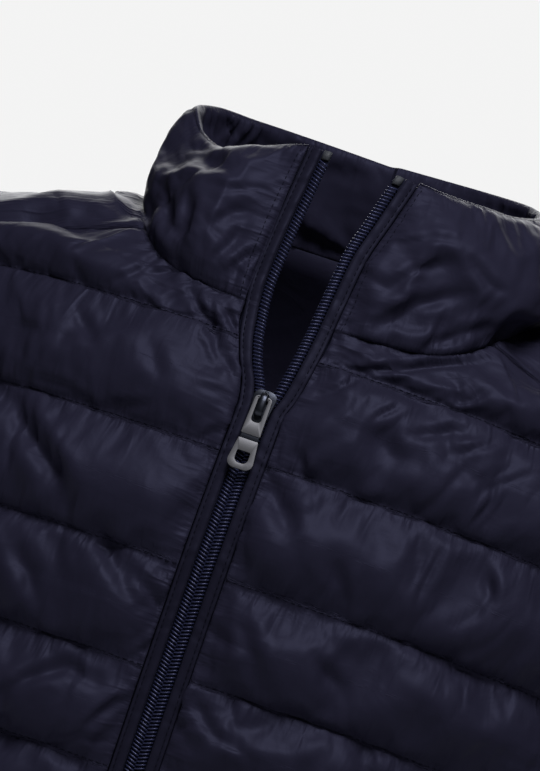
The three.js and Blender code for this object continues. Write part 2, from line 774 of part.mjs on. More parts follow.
// Solids for the slider and its pull, joined and cut
function solidOf(geometry) {
  const bare = geometry.index ? geometry.toNonIndexed() : geometry;
  const positions = bare.getAttribute("position");
  const seen = new Map();
  const vertices = [];
  const triangles = [];
  for (let i = 0; i < positions.count; i += 1) {
    const corner = [positions.getX(i), positions.getY(i), positions.getZ(i)];
    const key = corner.map((value) => Math.round(value * 1e4)).join(" ");
    if (!seen.has(key)) {
      seen.set(key, vertices.length / 3);
      vertices.push(...corner);
    }
    triangles.push(seen.get(key));
  }
  const mesh = new wasm.Mesh({
    numProp: 3,
    vertProperties: new Float32Array(vertices),
    triVerts: new Uint32Array(triangles),
  });
  return new wasm.Manifold(mesh);
}

function geometryOf(solid) {
  const mesh = solid.getMesh();
  const geometry = new THREE.BufferGeometry();
  geometry.setAttribute("position", new THREE.Float32BufferAttribute(mesh.vertProperties, 3));
  geometry.setIndex([...mesh.triVerts]);
  geometry.computeVertexNormals();
  return geometry;
}

// A flat plate whose outline lies across and along the zip, from one height out of the cloth to another
function plate(outline, from, to) {
  const options = { depth: to - from, bevelEnabled: false, curveSegments: 5 };
  return solidOf(new THREE.ExtrudeGeometry(outline, options).translate(0, 0, from));
}

// A four-sided outline with round corners: half its width at the lower and the upper end
function roundedOutline(low, high, lowHalf, highHalf, corner) {
  const outline = new THREE.Shape();
  outline.moveTo(-lowHalf + corner, low);
  outline.lineTo(lowHalf - corner, low);
  outline.quadraticCurveTo(lowHalf, low, lowHalf, low + corner);
  outline.lineTo(highHalf, high - corner);
  outline.quadraticCurveTo(highHalf, high, highHalf - corner, high);
  outline.lineTo(-highHalf + corner, high);
  outline.quadraticCurveTo(-highHalf, high, -highHalf, high - corner);
  outline.lineTo(-lowHalf, low + corner);
  outline.quadraticCurveTo(-lowHalf, low, -lowHalf + corner, low);
  return outline;
}

const block = (halfWidth, from, to, low, high) =>
  plate(roundedOutline(from, to, halfWidth, halfWidth, 0.3), low, high);

// Slider: two plates joined by a wedge between the tapes, and a bridge for the pull
const sliderLow = -slider.length / 2;
const sliderHigh = slider.length / 2;
const sliderOutline = () =>
  roundedOutline(sliderLow, sliderHigh, slider.tailWidth / 2, slider.noseWidth / 2, slider.corner);
const wedgeOutline = new THREE.Shape([
  new THREE.Vector2(0, slider.wedgeFrom),
  new THREE.Vector2(slider.wedgeHalfWidth, slider.wedgeTo - 0.6),
  new THREE.Vector2(0, slider.wedgeTo - 0.5),
  new THREE.Vector2(-slider.wedgeHalfWidth, slider.wedgeTo - 0.6),
]);
const halfBridge = slider.bridgeWidth / 2;
const bridgePost = (from) =>
  block(halfBridge, from, from + slider.postLength, slider.plateBottom, slider.bridgeTop);
const sliderSolid = plate(sliderOutline(), slider.plateBottom, slider.plateTop)
  .add(plate(sliderOutline(), slider.backBottom, slider.backTop))
  .add(plate(wedgeOutline, slider.backBottom, slider.plateTop))
  .add(block(halfBridge, slider.bridgeFrom, slider.bridgeTo, slider.bridgeUnder, slider.bridgeTop))
  .add(bridgePost(slider.bridgeFrom))
  .add(bridgePost(slider.bridgeTo - slider.postLength));

// The zip's own frame at the slider: across, along and out of the cloth
const sliderPlace = bodyPoint(0, slider.height);
const sliderOut = bodyNormal(0, slider.height);
const sliderAlong = sliderOut.clone().cross(new THREE.Vector3(1, 0, 0)).normalize();
const zipFrame = new THREE.Matrix4()
  .makeBasis(new THREE.Vector3(1, 0, 0), sliderAlong, sliderOut)
  .setPosition(sliderPlace);
const zipGroup = new THREE.Group();
zipGroup.applyMatrix4(zipFrame);
const sliderMesh = new THREE.Mesh(geometryOf(sliderSolid), darkMetal);
sliderMesh.name = "slider";
zipGroup.add(sliderMesh);

// Pull: a pin under the bridge, two slim arms and a plate with a hole near its round lower end
const pullOutline = roundedOutline(
  -pull.length, pull.armTop, pull.plateBottomHalf, pull.armOuter, pull.plateCorner,
);
const halfPull = pull.thickness / 2;
const pinLength = 2 * pull.armInner + 1;
const pin = new THREE.CylinderGeometry(pull.pinRadius, pull.pinRadius, pinLength, 10).rotateZ(Math.PI / 2);
const pullWindow = roundedOutline(pull.windowEnd, pull.armTop - 0.1, pull.armInner, pull.armInner, 0.8);
const pullHole = roundedOutline(pull.holeFrom, pull.holeTo, pull.holeHalf, pull.holeHalf - 0.4, pull.holeCorner);
const endRoom = 1;
const aboveArms = block(
  pull.armOuter + endRoom, pull.armTop - pull.armTrim, pull.armTop + endRoom, -pull.thickness, pull.thickness,
);
const pullSolid = plate(pullOutline, -halfPull, halfPull)
  .subtract(plate(pullWindow, -pull.thickness, pull.thickness))
  .subtract(plate(pullHole, -pull.thickness, pull.thickness))
  .subtract(aboveArms)
  .add(solidOf(pin));
const pullMesh = new THREE.Mesh(geometryOf(pullSolid), greyMetal);
pullMesh.name = "pull";
pullMesh.position.set(0, pull.hingeAlong, pull.hingeOut);
pullMesh.rotation.x = pull.tilt * degrees;
zipGroup.add(pullMesh);
pieces.add(zipGroup);

export default pieces;
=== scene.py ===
import math

import bmesh
import bpy
import numpy as np
from mathutils import Matrix, Vector


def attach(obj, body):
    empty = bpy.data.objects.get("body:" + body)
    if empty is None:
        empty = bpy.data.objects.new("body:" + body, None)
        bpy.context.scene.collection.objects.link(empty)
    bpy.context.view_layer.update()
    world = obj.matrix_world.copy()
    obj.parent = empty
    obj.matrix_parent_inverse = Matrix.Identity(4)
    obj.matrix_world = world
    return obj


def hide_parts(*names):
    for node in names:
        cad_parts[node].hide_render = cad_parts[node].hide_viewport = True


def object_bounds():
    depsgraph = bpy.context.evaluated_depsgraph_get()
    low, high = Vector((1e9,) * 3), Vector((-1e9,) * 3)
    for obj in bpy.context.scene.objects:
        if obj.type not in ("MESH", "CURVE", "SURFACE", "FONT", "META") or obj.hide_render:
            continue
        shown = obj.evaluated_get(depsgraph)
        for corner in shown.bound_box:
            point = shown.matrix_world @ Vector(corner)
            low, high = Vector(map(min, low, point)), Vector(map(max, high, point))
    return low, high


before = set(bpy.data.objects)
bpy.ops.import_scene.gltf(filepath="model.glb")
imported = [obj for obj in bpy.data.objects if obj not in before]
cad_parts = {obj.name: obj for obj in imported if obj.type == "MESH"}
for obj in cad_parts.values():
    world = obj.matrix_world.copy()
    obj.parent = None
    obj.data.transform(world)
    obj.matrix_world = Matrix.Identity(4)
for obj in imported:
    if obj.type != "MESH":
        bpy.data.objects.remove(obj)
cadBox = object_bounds()
mm = 0.001  # sizes below are millimetres, meshes are metres

# The garment's own levels, seams and sewn lines, the same as its solids have
cut = {
    "seamThickness": 3, "puffHeight": 11, "puffShare": 0.28, "puffRoundness": 0.7, "puffSag": 1.2,
    "edgeRise": 24,
    "neckHalfWidth": 86, "neckDropFront": 31, "neckDropBack": 9, "neckSide": 8,
    "collarTopHalfWidth": 74, "collarTopFront": 60, "collarTopBack": 70, "collarPuff": 17,
    "shoulderSeamAngle": 65, "shoulderTipX": 193, "shoulderTipDrop": 59,
    "ridgeTip": -46, "ridgeStart": -14.4, "ridgeBack": -30, "ridgeTurn": 0.65, "ridgeArch": 1.6,
    "ridgeLineFrom": 0.2, "ridgeLineFull": 0.5, "frontNeckPart": 0.35, "backNeckPart": 0.42,
    "panelEdge": 10.8, "lineDroop": 2.2, "underarm": -250,
}
levels = {
    "height": [4, -8, -20, -31, -46, -60, -90, -150, -250, -450, -690],
    "halfWidth": [50.4, 86, 121.6, 154.3, 198.9, 202, 202, 197, 191, 188, 195],
    "front": [78, 82, 83, 84, 90, 95, 105, 117, 123, 119, 121],
    "back": [70, 76, 82, 88, 95, 101, 108, 114, 113, 107, 111],
    "power": [1.1, 1.1, 1.3, 1.4, 1.55, 1.45, 1.2, 1, 0.85, 0.8, 0.8],
}
sewnLines = {
    "front": [-46, -95, -147, -193, -239, -287, -335, -383, -431, -479, -527, -575, -623, -668, -680],
    "frontSide": [-70, -107, -158, -204, -250, -293, -338, -384, -431, -479, -527, -575, -623, -668, -680],
    "back": [-52, -100, -148, -196, -243, -290, -336, -383, -431, -479, -527, -575, -623, -668, -680],
    "backSide": [-68, -108, -157, -204, -250, -293, -338, -384, -431, -479, -527, -575, -623, -668, -680],
}
armholeFront = {
    "height": [-59, -72, -90, -115, -150, -185, -215, -236, -246, -250],
    "angle": [73.9, 69, 63.5, 60, 58.5, 60.5, 66, 74.5, 83, 90],
}
armholeBack = {
    "height": [-68, -90, -120, -150, -185, -215, -236, -246, -250],
    "angle": [74.5, 70, 67.5, 67.5, 69, 73, 79.5, 85.5, 90],
}
zipOpening = {
    "height": [-72.5, -64, -54, -40, -18, 0, 20, 48],
    "right": [0, 2.2, 7.2, 11.7, 14.5, 14, 12.8, 11],
    "left": [0, 2.6, 4.2, 5.7, 7.1, 8.4, 12.8, 19],
}
collarTop = {"angle": [0, 14, 35, 60, 90, 125, 180], "height": [42, 41, 36, 32, 36, 39, 38]}
collarSection = {
    "along": [0, 0.1, 0.26, 0.45, 0.63, 0.79, 0.91, 0.975, 1],
    "proud": [0.18, 0.58, 0.88, 1, 1, 0.86, 0.6, 0.34, 0.14],
}
sides = {"right": -1, "left": 1}  # the wearer's, and the sign of x
scene = bpy.context.scene


def mix(a, b, t):
    return a + (b - a) * t


def clamp01(t):
    return np.clip(t, 0, 1)


def ease(t):
    t = clamp01(t)
    return t * t * (3 - 2 * t)


def readTable(table, by, key, at):  # a smooth curve through the rows that never overshoots them
    xs, ys = np.array(table[by], float), np.array(table[key], float)
    if xs[0] > xs[-1]:
        xs, ys = xs[::-1], ys[::-1]
    steps = np.diff(xs)
    slopes = np.diff(ys) / steps
    both = slopes[:-1] * slopes[1:]
    bends = np.concatenate(([slopes[0]], np.zeros(len(both)), [slopes[-1]]))
    np.divide(2 * both, slopes[:-1] + slopes[1:], out=bends[1:-1], where=both > 0)
    place = np.clip(at, xs[0], xs[-1])
    i = np.clip(np.searchsorted(xs, place) - 1, 0, len(steps) - 1)
    t = (place - xs[i]) / steps[i]
    start = ys[i] * (1 + 2 * t) * (1 - t) ** 2 + ys[i + 1] * (3 - 2 * t) * t**2
    return start + steps[i] * (bends[i] * t * (1 - t) ** 2 - bends[i + 1] * (1 - t) * t**2)


def unit(vectors):
    return vectors / np.linalg.norm(vectors, axis=-1, keepdims=True)


def bodyPoint(angle, height):  # the plain inside: angle 0 is the middle of the front, 180 of the back
    turn = np.radians(angle)
    across = np.cos(turn)
    power = readTable(levels, "height", "power", height)
    frontDepth = readTable(levels, "height", "front", height)
    backDepth = readTable(levels, "height", "back", height)
    depth = np.where(across > 0, frontDepth, backDepth)
    x = readTable(levels, "height", "halfWidth", height) * np.sin(turn)
    y = -np.sign(across) * depth * np.abs(across) ** power
    return np.stack(np.broadcast_arrays(x, y, height), axis=-1).astype(float)


def bodyNormal(angle, height):
    turnStep = 1.5
    heightStep = 1.5
    around = bodyPoint(angle + turnStep, height) - bodyPoint(angle - turnStep, height)
    up = bodyPoint(angle, height + heightStep) - bodyPoint(angle, height - heightStep)
    return unit(np.cross(around, up))


def angleAt(x, height, onBack):
    reach = np.minimum(1, x / readTable(levels, "height", "halfWidth", height))
    angle = np.degrees(np.arcsin(reach))
    return np.where(onBack, 180 - angle, angle)


def openingAt(side, height):
    key = "left" if side > 0 else "right"
    opened = readTable(zipOpening, "height", key, height)
    return np.where(np.asarray(height) < zipOpening["height"][0], 0, opened)


def neckSeam(ringAngle):  # where the collar is sewn on
    around = np.sin(np.radians(ringAngle))
    isFront = np.asarray(ringAngle) < 90
    low = np.where(isFront, -cut["neckDropFront"], -cut["neckDropBack"])
    height = mix(low, -cut["neckSide"], around**6)
    return angleAt(cut["neckHalfWidth"] * around, height, ~isFront), height


def collarPoint(ringAngle, along):  # the collar's plain inner face, from its foot at 0 to its upper edge at 1
    turn = np.radians(ringAngle)
    foot = bodyPoint(*neckSeam(ringAngle))
    middle = (cut["collarTopBack"] - cut["collarTopFront"]) / 2
    reach = (cut["collarTopBack"] + cut["collarTopFront"]) / 2
    height = readTable(collarTop, "angle", "height", ringAngle)
    x = cut["collarTopHalfWidth"] * np.sin(turn)
    edge = np.stack(np.broadcast_arrays(x, middle - reach * np.cos(turn), height), axis=-1)
    return mix(foot, edge, np.asarray(along)[..., None])


def collarNormal(ringAngle, along):
    turnStep = 2
    alongStep = 0.05
    below = np.maximum(0, np.asarray(along) - alongStep)
    above = np.minimum(1, np.asarray(along) + alongStep)
    around = np.clip(ringAngle, turnStep, 180 - turnStep)
    across = collarPoint(around + turnStep, along) - collarPoint(around - turnStep, along)
    up = collarPoint(ringAngle, above) - collarPoint(ringAngle, below)
    return unit(np.cross(across, up))


def neckMitre(ringAngle):  # at the neck both walls end on one slanted face
    return unit(bodyNormal(*neckSeam(ringAngle)) + collarNormal(ringAngle, np.zeros(np.shape(ringAngle))))


def collarEdgeAngle(side, along, away):  # the ring angle at which the front edge stands beside the zip
    ringAngle = np.full(np.shape(along), 10.0)
    for _ in range(6):
        point = collarPoint(ringAngle, along)
        wanted = openingAt(side, point[..., 2]) + away
        reach = mix(cut["neckHalfWidth"], cut["collarTopHalfWidth"], along)
        ringAngle = np.degrees(np.arcsin(wanted / reach))
    return ringAngle


def shoulderSeam(share):
    ringAngle = cut["shoulderSeamAngle"]
    startHeight = neckSeam(ringAngle)[1]
    startX = cut["neckHalfWidth"] * math.sin(math.radians(ringAngle))
    height = mix(startHeight, -cut["shoulderTipDrop"], share)
    return angleAt(mix(startX, cut["shoulderTipX"], share), height, False), height


def sewnLine(side, middle, edge, place, onBack):  # angle and height along a sewn line
    armhole = armholeBack if onBack else armholeFront
    end = np.where(edge < cut["underarm"], 90, readTable(armhole, "height", "angle", edge))
    height = mix(middle, edge, place ** cut["lineDroop"])
    if onBack:
        return 180 - end * place, height
    start = angleAt(openingAt(side, middle) + cut["panelEdge"], middle, False)
    return mix(start, end, place), height


def frontPlace(side, place, down):  # down counts the channels from the neck to the hem
    inNeck = place <= cut["frontNeckPart"]
    start = collarEdgeAngle(side, np.zeros(1), cut["panelEdge"])[0]
    ringAngle = mix(start, cut["shoulderSeamAngle"], np.minimum(place / cut["frontNeckPart"], 1))
    share = clamp01((place - cut["frontNeckPart"]) / (1 - cut["frontNeckPart"]))
    top = [np.where(inNeck, neck, seam) for neck, seam in zip(neckSeam(ringAngle), shoulderSeam(share))]
    lineNumbers = np.arange(1, len(sewnLines["front"]) + 1)
    middle = np.interp(down, lineNumbers, sewnLines["front"])
    edge = np.interp(down, lineNumbers, sewnLines["frontSide"])
    line = sewnLine(side, middle, edge, place, False)
    angle, height = [np.where(down < 1, mix(t, s, np.minimum(down, 1)), s) for t, s in zip(top, line)]
    mitre = neckMitre(ringAngle)
    return angle, height, mitre, inNeck


def backPlace(place, down):  # the same for half of the back, which starts with two channels over the shoulder
    inNeck = place <= cut["backNeckPart"]
    neckShare = np.minimum(place / cut["backNeckPart"], 1)
    ringAngle = mix(180, cut["shoulderSeamAngle"], neckShare)
    share = clamp01((place - cut["backNeckPart"]) / (1 - cut["backNeckPart"]))
    top = [np.where(inNeck, neck, seam) for neck, seam in zip(neckSeam(ringAngle), shoulderSeam(share))]
    ridgeAngle = np.where(inNeck, 180 - 90 * neckShare, 90)
    neckRidge = mix(cut["ridgeBack"], cut["ridgeStart"], neckShare**2)
    ridgeHeight = np.where(inNeck, neckRidge, mix(cut["ridgeStart"], cut["ridgeTip"], share))
    lineNumbers = np.arange(2, len(sewnLines["back"]) + 2)
    middle = np.interp(down, lineNumbers, sewnLines["back"])
    edge = np.interp(down, lineNumbers, sewnLines["backSide"])
    lineAngle, lineHeight = sewnLine(1, middle, edge, place, True)
    up = clamp01(1 - down)
    over = clamp01(down - 1)
    turn, arch = cut["ridgeTurn"], cut["ridgeArch"]
    angle = np.where(down < 1, mix(ridgeAngle, top[0], up**turn), mix(ridgeAngle, lineAngle, over**turn))
    height = np.where(down < 1, mix(ridgeHeight, top[1], up**arch), mix(ridgeHeight, lineHeight, over**arch))
    return angle, height, neckMitre(ringAngle), inNeck


def fullness(share):  # the padding sags, so a channel is fullest a little below its middle
    return np.sin(np.pi * clamp01(share) ** cut["puffSag"]) ** cut["puffRoundness"]


def mirrorX(points, sign):
    return points * np.stack(np.broadcast_arrays(sign, 1, 1), axis=-1)


# Sheets of cloth as grids: every point keeps how far across and down its panel it lies
def newObject(name, mesh, material=None):
    obj = bpy.data.objects.new(name, mesh)
    scene.collection.objects.link(obj)
    if material:
        mesh.materials.append(material)
    return obj


def gridMesh(name, columns, rows, wall):
    bm = bmesh.new()
    bmesh.ops.create_grid(bm, x_segments=columns, y_segments=rows, size=0.5)
    across = bm.verts.layers.float.new("across")
    down = bm.verts.layers.float.new("down")
    spots = np.array([vert.co[:2] for vert in bm.verts]) + 0.5
    points = wall(spots[:, 0], spots[:, 1]) * mm
    for vert, point, spot in zip(bm.verts, points, spots):
        vert.co = point
        vert[across], vert[down] = spot
    mesh = bpy.data.meshes.new(name)
    bm.to_mesh(mesh)
    bm.free()
    return mesh


def readPoints(mesh):
    points = np.empty(len(mesh.vertices) * 3)
    mesh.vertices.foreach_get("co", points)
    return points.reshape(-1, 3)


def writePlaces(mesh, name, *columns):  # three numbers a point, for the materials
    layer = mesh.attributes.new(name, "FLOAT_VECTOR", "POINT")
    values = np.stack(np.broadcast_arrays(*columns), axis=1).astype(np.float32)
    layer.data.foreach_set("vector", values.ravel())


def writePoints(mesh, points):
    mesh.vertices.foreach_set("co", points.ravel())
    mesh.update()


def readLayer(mesh, name):
    values = np.empty(len(mesh.vertices))
    mesh.attributes[name].data.foreach_get("value", values)
    return values


def readNormals(mesh):
    normals = np.empty(len(mesh.vertices) * 3)
    mesh.vertex_normals.foreach_get("vector", normals)
    return normals.reshape(-1, 3)


def sideEdges(bm, layerName, value):
    layer = bm.verts.layers.float[layerName]
    near = 1e-4
    edges = [edge for edge in bm.edges if edge.is_boundary]
    return [edge for edge in edges if all(abs(vert[layer] - value) < near for vert in edge.verts)]


def smoothShade(mesh):
    mesh.polygons.foreach_set("use_smooth", np.ones(len(mesh.polygons), bool))
    mesh.update()


def lengthsAlong(line):
    return np.concatenate(([0], np.cumsum(np.linalg.norm(np.diff(line, axis=0), axis=1))))


def framesAlong(line, outward, distances):  # a place at each distance, with the ways along, across and out
    aheadStep = 0.6
    lengths = lengthsAlong(line)
    frames = []
    for distance in distances:
        spot, ahead, out = [
            Vector([np.interp(at, lengths, values[:, axis]) for axis in range(3)])
            for at, values in ((distance, line), (distance + aheadStep, line), (distance, outward))
        ]
        along = (ahead - spot).normalized()
        out = (out - out.dot(along) * along).normalized()
        basis = Matrix((out.cross(along), along, out)).transposed().to_4x4()
        frames.append(Matrix.Translation(spot * mm) @ basis)
    return frames


def spreadCopies(name, template, matrices):  # joins one small mesh at every place
    bm = bmesh.new()
    for matrix in matrices:
        piece = template.copy()
        piece.transform(matrix)
        bm.from_mesh(piece)
        bpy.data.meshes.remove(piece)
    bmesh.ops.recalc_face_normals(bm, faces=bm.faces)
    mesh = bpy.data.meshes.new(name)
    bm.to_mesh(mesh)
    bm.free()
    smoothShade(mesh)
    return mesh


def addTube(bm, path, sizes, sides):  # rings across a path, bridged, with both ends closed
    rings = []
    for number, (spot, size) in enumerate(zip(path, sizes)):
        ahead = path[min(number + 1, len(path) - 1)]
        behind = path[max(number - 1, 0)]
        facing = (ahead - behind).normalized()
        across = Vector((1, 0, 0)) if abs(facing.x) < 0.8 else Vector((0, 1, 0))
        level = facing.cross(across).normalized()
        basis = Matrix((level.cross(facing), level, facing)).transposed().to_4x4()
        place = Matrix.Translation(spot) @ basis @ Matrix.Diagonal((*size, 1, 1))
        atEnd = number in (0, len(path) - 1)
        verts = bmesh.ops.create_circle(bm, cap_ends=atEnd, segments=sides, radius=1, matrix=place)["verts"]
        rings.append([edge for edge in bm.edges if all(vert in verts for vert in edge.verts)])
    for one, two in zip(rings, rings[1:]):
        bmesh.ops.bridge_loops(bm, edges=one + two)


def smallTube(name, path, sizes, sides):
    bm = bmesh.new()
    addTube(bm, [Vector(spot) for spot in path], sizes, sides)
    bmesh.ops.scale(bm, vec=(mm, mm, mm), verts=bm.verts)
    mesh = bpy.data.meshes.new(name)
    bm.to_mesh(mesh)
    bm.free()
    return mesh


# Seeded noise, for puckers and creases that are uneven in length, depth and spacing
noiseSize = 256
noiseValues = np.random.default_rng(11).random((noiseSize, noiseSize))


def softNoise(u, v, layer=0):  # smooth, from 0 to 1; each layer reads another part of the same values
    u, v = np.broadcast_arrays(u + 17.3 * layer, v + 31.7 * layer)
    column, row = np.floor(u).astype(int), np.floor(v).astype(int)
    shareU, shareV = ease(u - column), ease(v - row)
    left, right = column % noiseSize, (column + 1) % noiseSize
    low, high = row % noiseSize, (row + 1) % noiseSize
    lower = mix(noiseValues[left, low], noiseValues[right, low], shareU)
    upper = mix(noiseValues[left, high], noiseValues[right, high], shareU)
    return mix(lower, upper, shareV)


gathers = {  # small folds that start at a line of stitches: their spacing, reach and depth
    "waves": [(4.6, 6, 0.55), (9, 14, 0.95), (19, 26, 1.25)],
    "lean": 1.1, "leanOver": 24, "start": 0.9, "patch": 2.6, "least": 0.3, "creases": 1.45,
}
dents = {"waves": [(46, 1.6), (19, 0.7), (9, 0.22)], "start": 9}


def gatherDepth(along, away, seed):
    lean = (softNoise(along / gathers["leanOver"], seed) - 0.5) * 2 * gathers["lean"]
    total = np.zeros(len(along))
    for number, (spacing, reach, depth) in enumerate(gathers["waves"]):
        across = (along + lean * away) / spacing
        fold = np.abs(2 * softNoise(across, seed + away / (8 * spacing), number) - 1)
        patch = ease(2 * softNoise(along / (gathers["patch"] * spacing), seed * 1.7, number + 5) - 0.5)
        total += depth * (2.4 * fold - 0.8) * mix(gathers["least"], 1, patch) * np.exp(-away / reach)
    return total * ease(away / gathers["start"])


def dentDepth(around, height, free):
    total = np.zeros(len(around))
    for number, (spacing, depth) in enumerate(dents["waves"]):
        total += depth * (softNoise(around / spacing, height / spacing, number + 9) - 0.5) * 2
    return total * free


creaseShape = {  # as shares of a crease's own width and depth: its banks on both sides, and its tapered ends
    "reach": 5, "bankAt": 1.8, "bankWide": 1.2, "bank": 0.5, "lowBankAt": 1.9, "lowBankWide": 1.3,
    "lowBank": 0.25, "ends": (0.04, 0.96), "taper": 0.6,
}


def creaseDepth(around, height, creases):  # each is a line of points, a width and a depth, with a raised bank
    total = np.zeros(len(around))
    for line, wide, deep in creases:
        line = np.array(line, float)
        reach = creaseShape["reach"] * wide
        low, high = line.min(axis=0) - reach, line.max(axis=0) + reach
        near = np.flatnonzero((around > low[0]) & (around < high[0]) & (height > low[1]) & (height < high[1]))
        if not len(near):
            continue
        lengths = lengthsAlong(line)
        best = np.full(len(near), np.inf)
        signed, share = np.zeros(len(near)), np.zeros(len(near))
        for number in range(len(line) - 1):
            step = line[number + 1] - line[number]
            toPoint = np.stack((around[near], height[near]), axis=1) - line[number]
            part = clamp01(toPoint @ step / (step @ step))
            offset = toPoint - part[:, None] * step
            distance = np.linalg.norm(offset, axis=1)
            closer = distance < best
            turn = np.sign(step[0]) or 1
            side = np.sign(step[0] * toPoint[:, 1] - step[1] * toPoint[:, 0]) * turn
            best = np.where(closer, distance, best)
            signed = np.where(closer, distance * side, signed)
            place = (lengths[number] + part * (lengths[number + 1] - lengths[number])) / lengths[-1]
            share = np.where(closer, place, share)
        taper = np.sin(np.pi * np.clip(share, *creaseShape["ends"])) ** creaseShape["taper"]
        away = signed / wide
        trough = -np.exp(-(away**2))
        bankAway = (away - creaseShape["bankAt"]) / creaseShape["bankWide"]
        lowAway = (away + creaseShape["lowBankAt"]) / creaseShape["lowBankWide"]
        bank = creaseShape["bank"] * np.exp(-(bankAway**2))
        lowBank = creaseShape["lowBank"] * np.exp(-(lowAway**2))
        total[near] += gathers["creases"] * deep * taper * (trough + bank + lowBank)
    return total


# Materials
def effectGroup(name, inputs, outputs):  # an empty node group with named sockets
    group = bpy.data.node_groups.new(name, "ShaderNodeTree")
    for socketName, kind, value in inputs:
        socket = group.interface.new_socket(socketName, in_out="INPUT", socket_type=kind)
        if value is not None:
            socket.default_value = value
    for socketName, kind in outputs:
        group.interface.new_socket(socketName, in_out="OUTPUT", socket_type=kind)
    entry, leave = group.nodes.new("NodeGroupInput"), group.nodes.new("NodeGroupOutput")
    return group, entry, leave


def noiseNode(tree, vector, scale, detail=2.0, roughness=0.5, distortion=0.0, kind="FBM"):
    node = tree.nodes.new("ShaderNodeTexNoise")
    node.noise_type = kind
    node.inputs["Scale"].default_value = scale
    node.inputs["Detail"].default_value = detail
    node.inputs["Roughness"].default_value = roughness
    node.inputs["Distortion"].default_value = distortion
    tree.links.new(vector, node.inputs["Vector"])
    return node.outputs["Fac"]


def mathNode(tree, operation, first, second):
    node = tree.nodes.new("ShaderNodeMath")
    node.operation = operation
    for socket, value in zip(node.inputs, (first, second)):
        if isinstance(value, (int, float)):
            socket.default_value = value
        else:
            tree.links.new(value, socket)
    return node.outputs[0]


def stretched(tree, vector, scale):
    node = tree.nodes.new("ShaderNodeMapping")
    node.inputs["Scale"].default_value = scale
    tree.links.new(vector, node.inputs["Vector"])
    return node.outputs["Vector"]


def threadGroup():  # fine threads along and across, as a height
    group, entry, leave = effectGroup(
        "fine_threads", [("Vector", "NodeSocketVector", None), ("Depth", "NodeSocketFloat", 1.0)],
        [("Height", "NodeSocketFloat")])
    across = noiseNode(group, stretched(group, entry.outputs["Vector"], (1, 1, 5)), 420, 1)
    down = noiseNode(group, stretched(group, entry.outputs["Vector"], (5, 5, 1)), 420, 1)
    height = mathNode(group, "MULTIPLY", mathNode(group, "ADD", across, down), entry.outputs["Depth"])
    group.links.new(height, leave.inputs["Height"])
    return group


def creaseGroup():  # small crumpled creases and softer ripples, as a height
    group, entry, leave = effectGroup(
        "soft_creases", [("Vector", "NodeSocketVector", None), ("Sharp", "NodeSocketFloat", 0.4),
                         ("Soft", "NodeSocketFloat", 1.0)],
        [("Height", "NodeSocketFloat")])
    vector = entry.outputs["Vector"]
    sharp = noiseNode(group, stretched(group, vector, (1, 1, 1.5)), 34, 2, 0.45, 0.7, "RIDGED_MULTIFRACTAL")
    soft = noiseNode(group, vector, 46, 3, 0.5, 0.9)
    height = mathNode(group, "ADD", mathNode(group, "MULTIPLY", sharp, entry.outputs["Sharp"]),
                      mathNode(group, "MULTIPLY", soft, entry.outputs["Soft"]))
    group.links.new(height, leave.inputs["Height"])
    return group


def puckerGroup():  # crisp puckers from a line of stitches; the vector is along it, away from it and a seed
    group, entry, leave = effectGroup("sewn_puckers", [("Vector", "NodeSocketVector", None)],
                                      [("Height", "NodeSocketFloat")])
    vector = entry.outputs["Vector"]
    parts = group.nodes.new("ShaderNodeSeparateXYZ")
    group.links.new(vector, parts.inputs["Vector"])
    total = 0.0
    for wide, long, distortion, depth, fade, kind in puckers:
        place = stretched(group, vector, (1 / wide, 1 / long, 1))
        fold = noiseNode(group, place, 1, 2, 0.5, distortion, kind)
        reach = mathNode(group, "POWER", math.exp(-1 / fade), parts.outputs["Y"])
        shaped = mathNode(group, "MULTIPLY", mathNode(group, "MULTIPLY", fold, depth), reach)
        total = mathNode(group, "ADD", shaped, total)
    group.links.new(total, leave.inputs["Height"])
    return group


def driftGroup():  # a slow change of shade over the surface, as a factor near 1
    group, entry, leave = effectGroup(
        "shade_drift", [("Vector", "NodeSocketVector", None), ("Low", "NodeSocketFloat", 0.9),
                        ("High", "NodeSocketFloat", 1.1)], [("Factor", "NodeSocketFloat")])
    spots = noiseNode(group, entry.outputs["Vector"], 16, 3, 0.55, 0.4)
    ranged = group.nodes.new("ShaderNodeMapRange")
    group.links.new(spots, ranged.inputs["Value"])
    ranged.inputs["From Min"].default_value = 0.3
    ranged.inputs["From Max"].default_value = 0.7
    group.links.new(entry.outputs["Low"], ranged.inputs["To Min"])
    group.links.new(entry.outputs["High"], ranged.inputs["To Max"])
    group.links.new(ranged.outputs["Result"], leave.inputs["Factor"])
    return group


puckers = [  # how wide and long, how bent, their depth and how far they reach, in mm
    (2.3, 8, 0.4, 1.1, 3.5, "FBM"), (5.5, 26, 0.8, 1.3, 11, "RIDGED_MULTIFRACTAL"),
]
effects = {
    "threads": threadGroup(), "creases": creaseGroup(), "drift": driftGroup(), "puckers": puckerGroup(),
}


def placeEffect(tree, effect, vector, **values):
    node = tree.nodes.new("ShaderNodeGroup")
    node.node_tree = effects[effect]
    tree.links.new(vector, node.inputs["Vector"])
    for name, value in values.items():
        node.inputs[name].default_value = value
    return node.outputs[0]


def bumpNode(tree, height, distance, strength, normal=None):
    node = tree.nodes.new("ShaderNodeBump")
    node.inputs["Strength"].default_value = strength
    node.inputs["Distance"].default_value = distance * mm
    tree.links.new(height, node.inputs["Height"])
    if normal:
        tree.links.new(normal, node.inputs["Normal"])
    return node.outputs["Normal"]


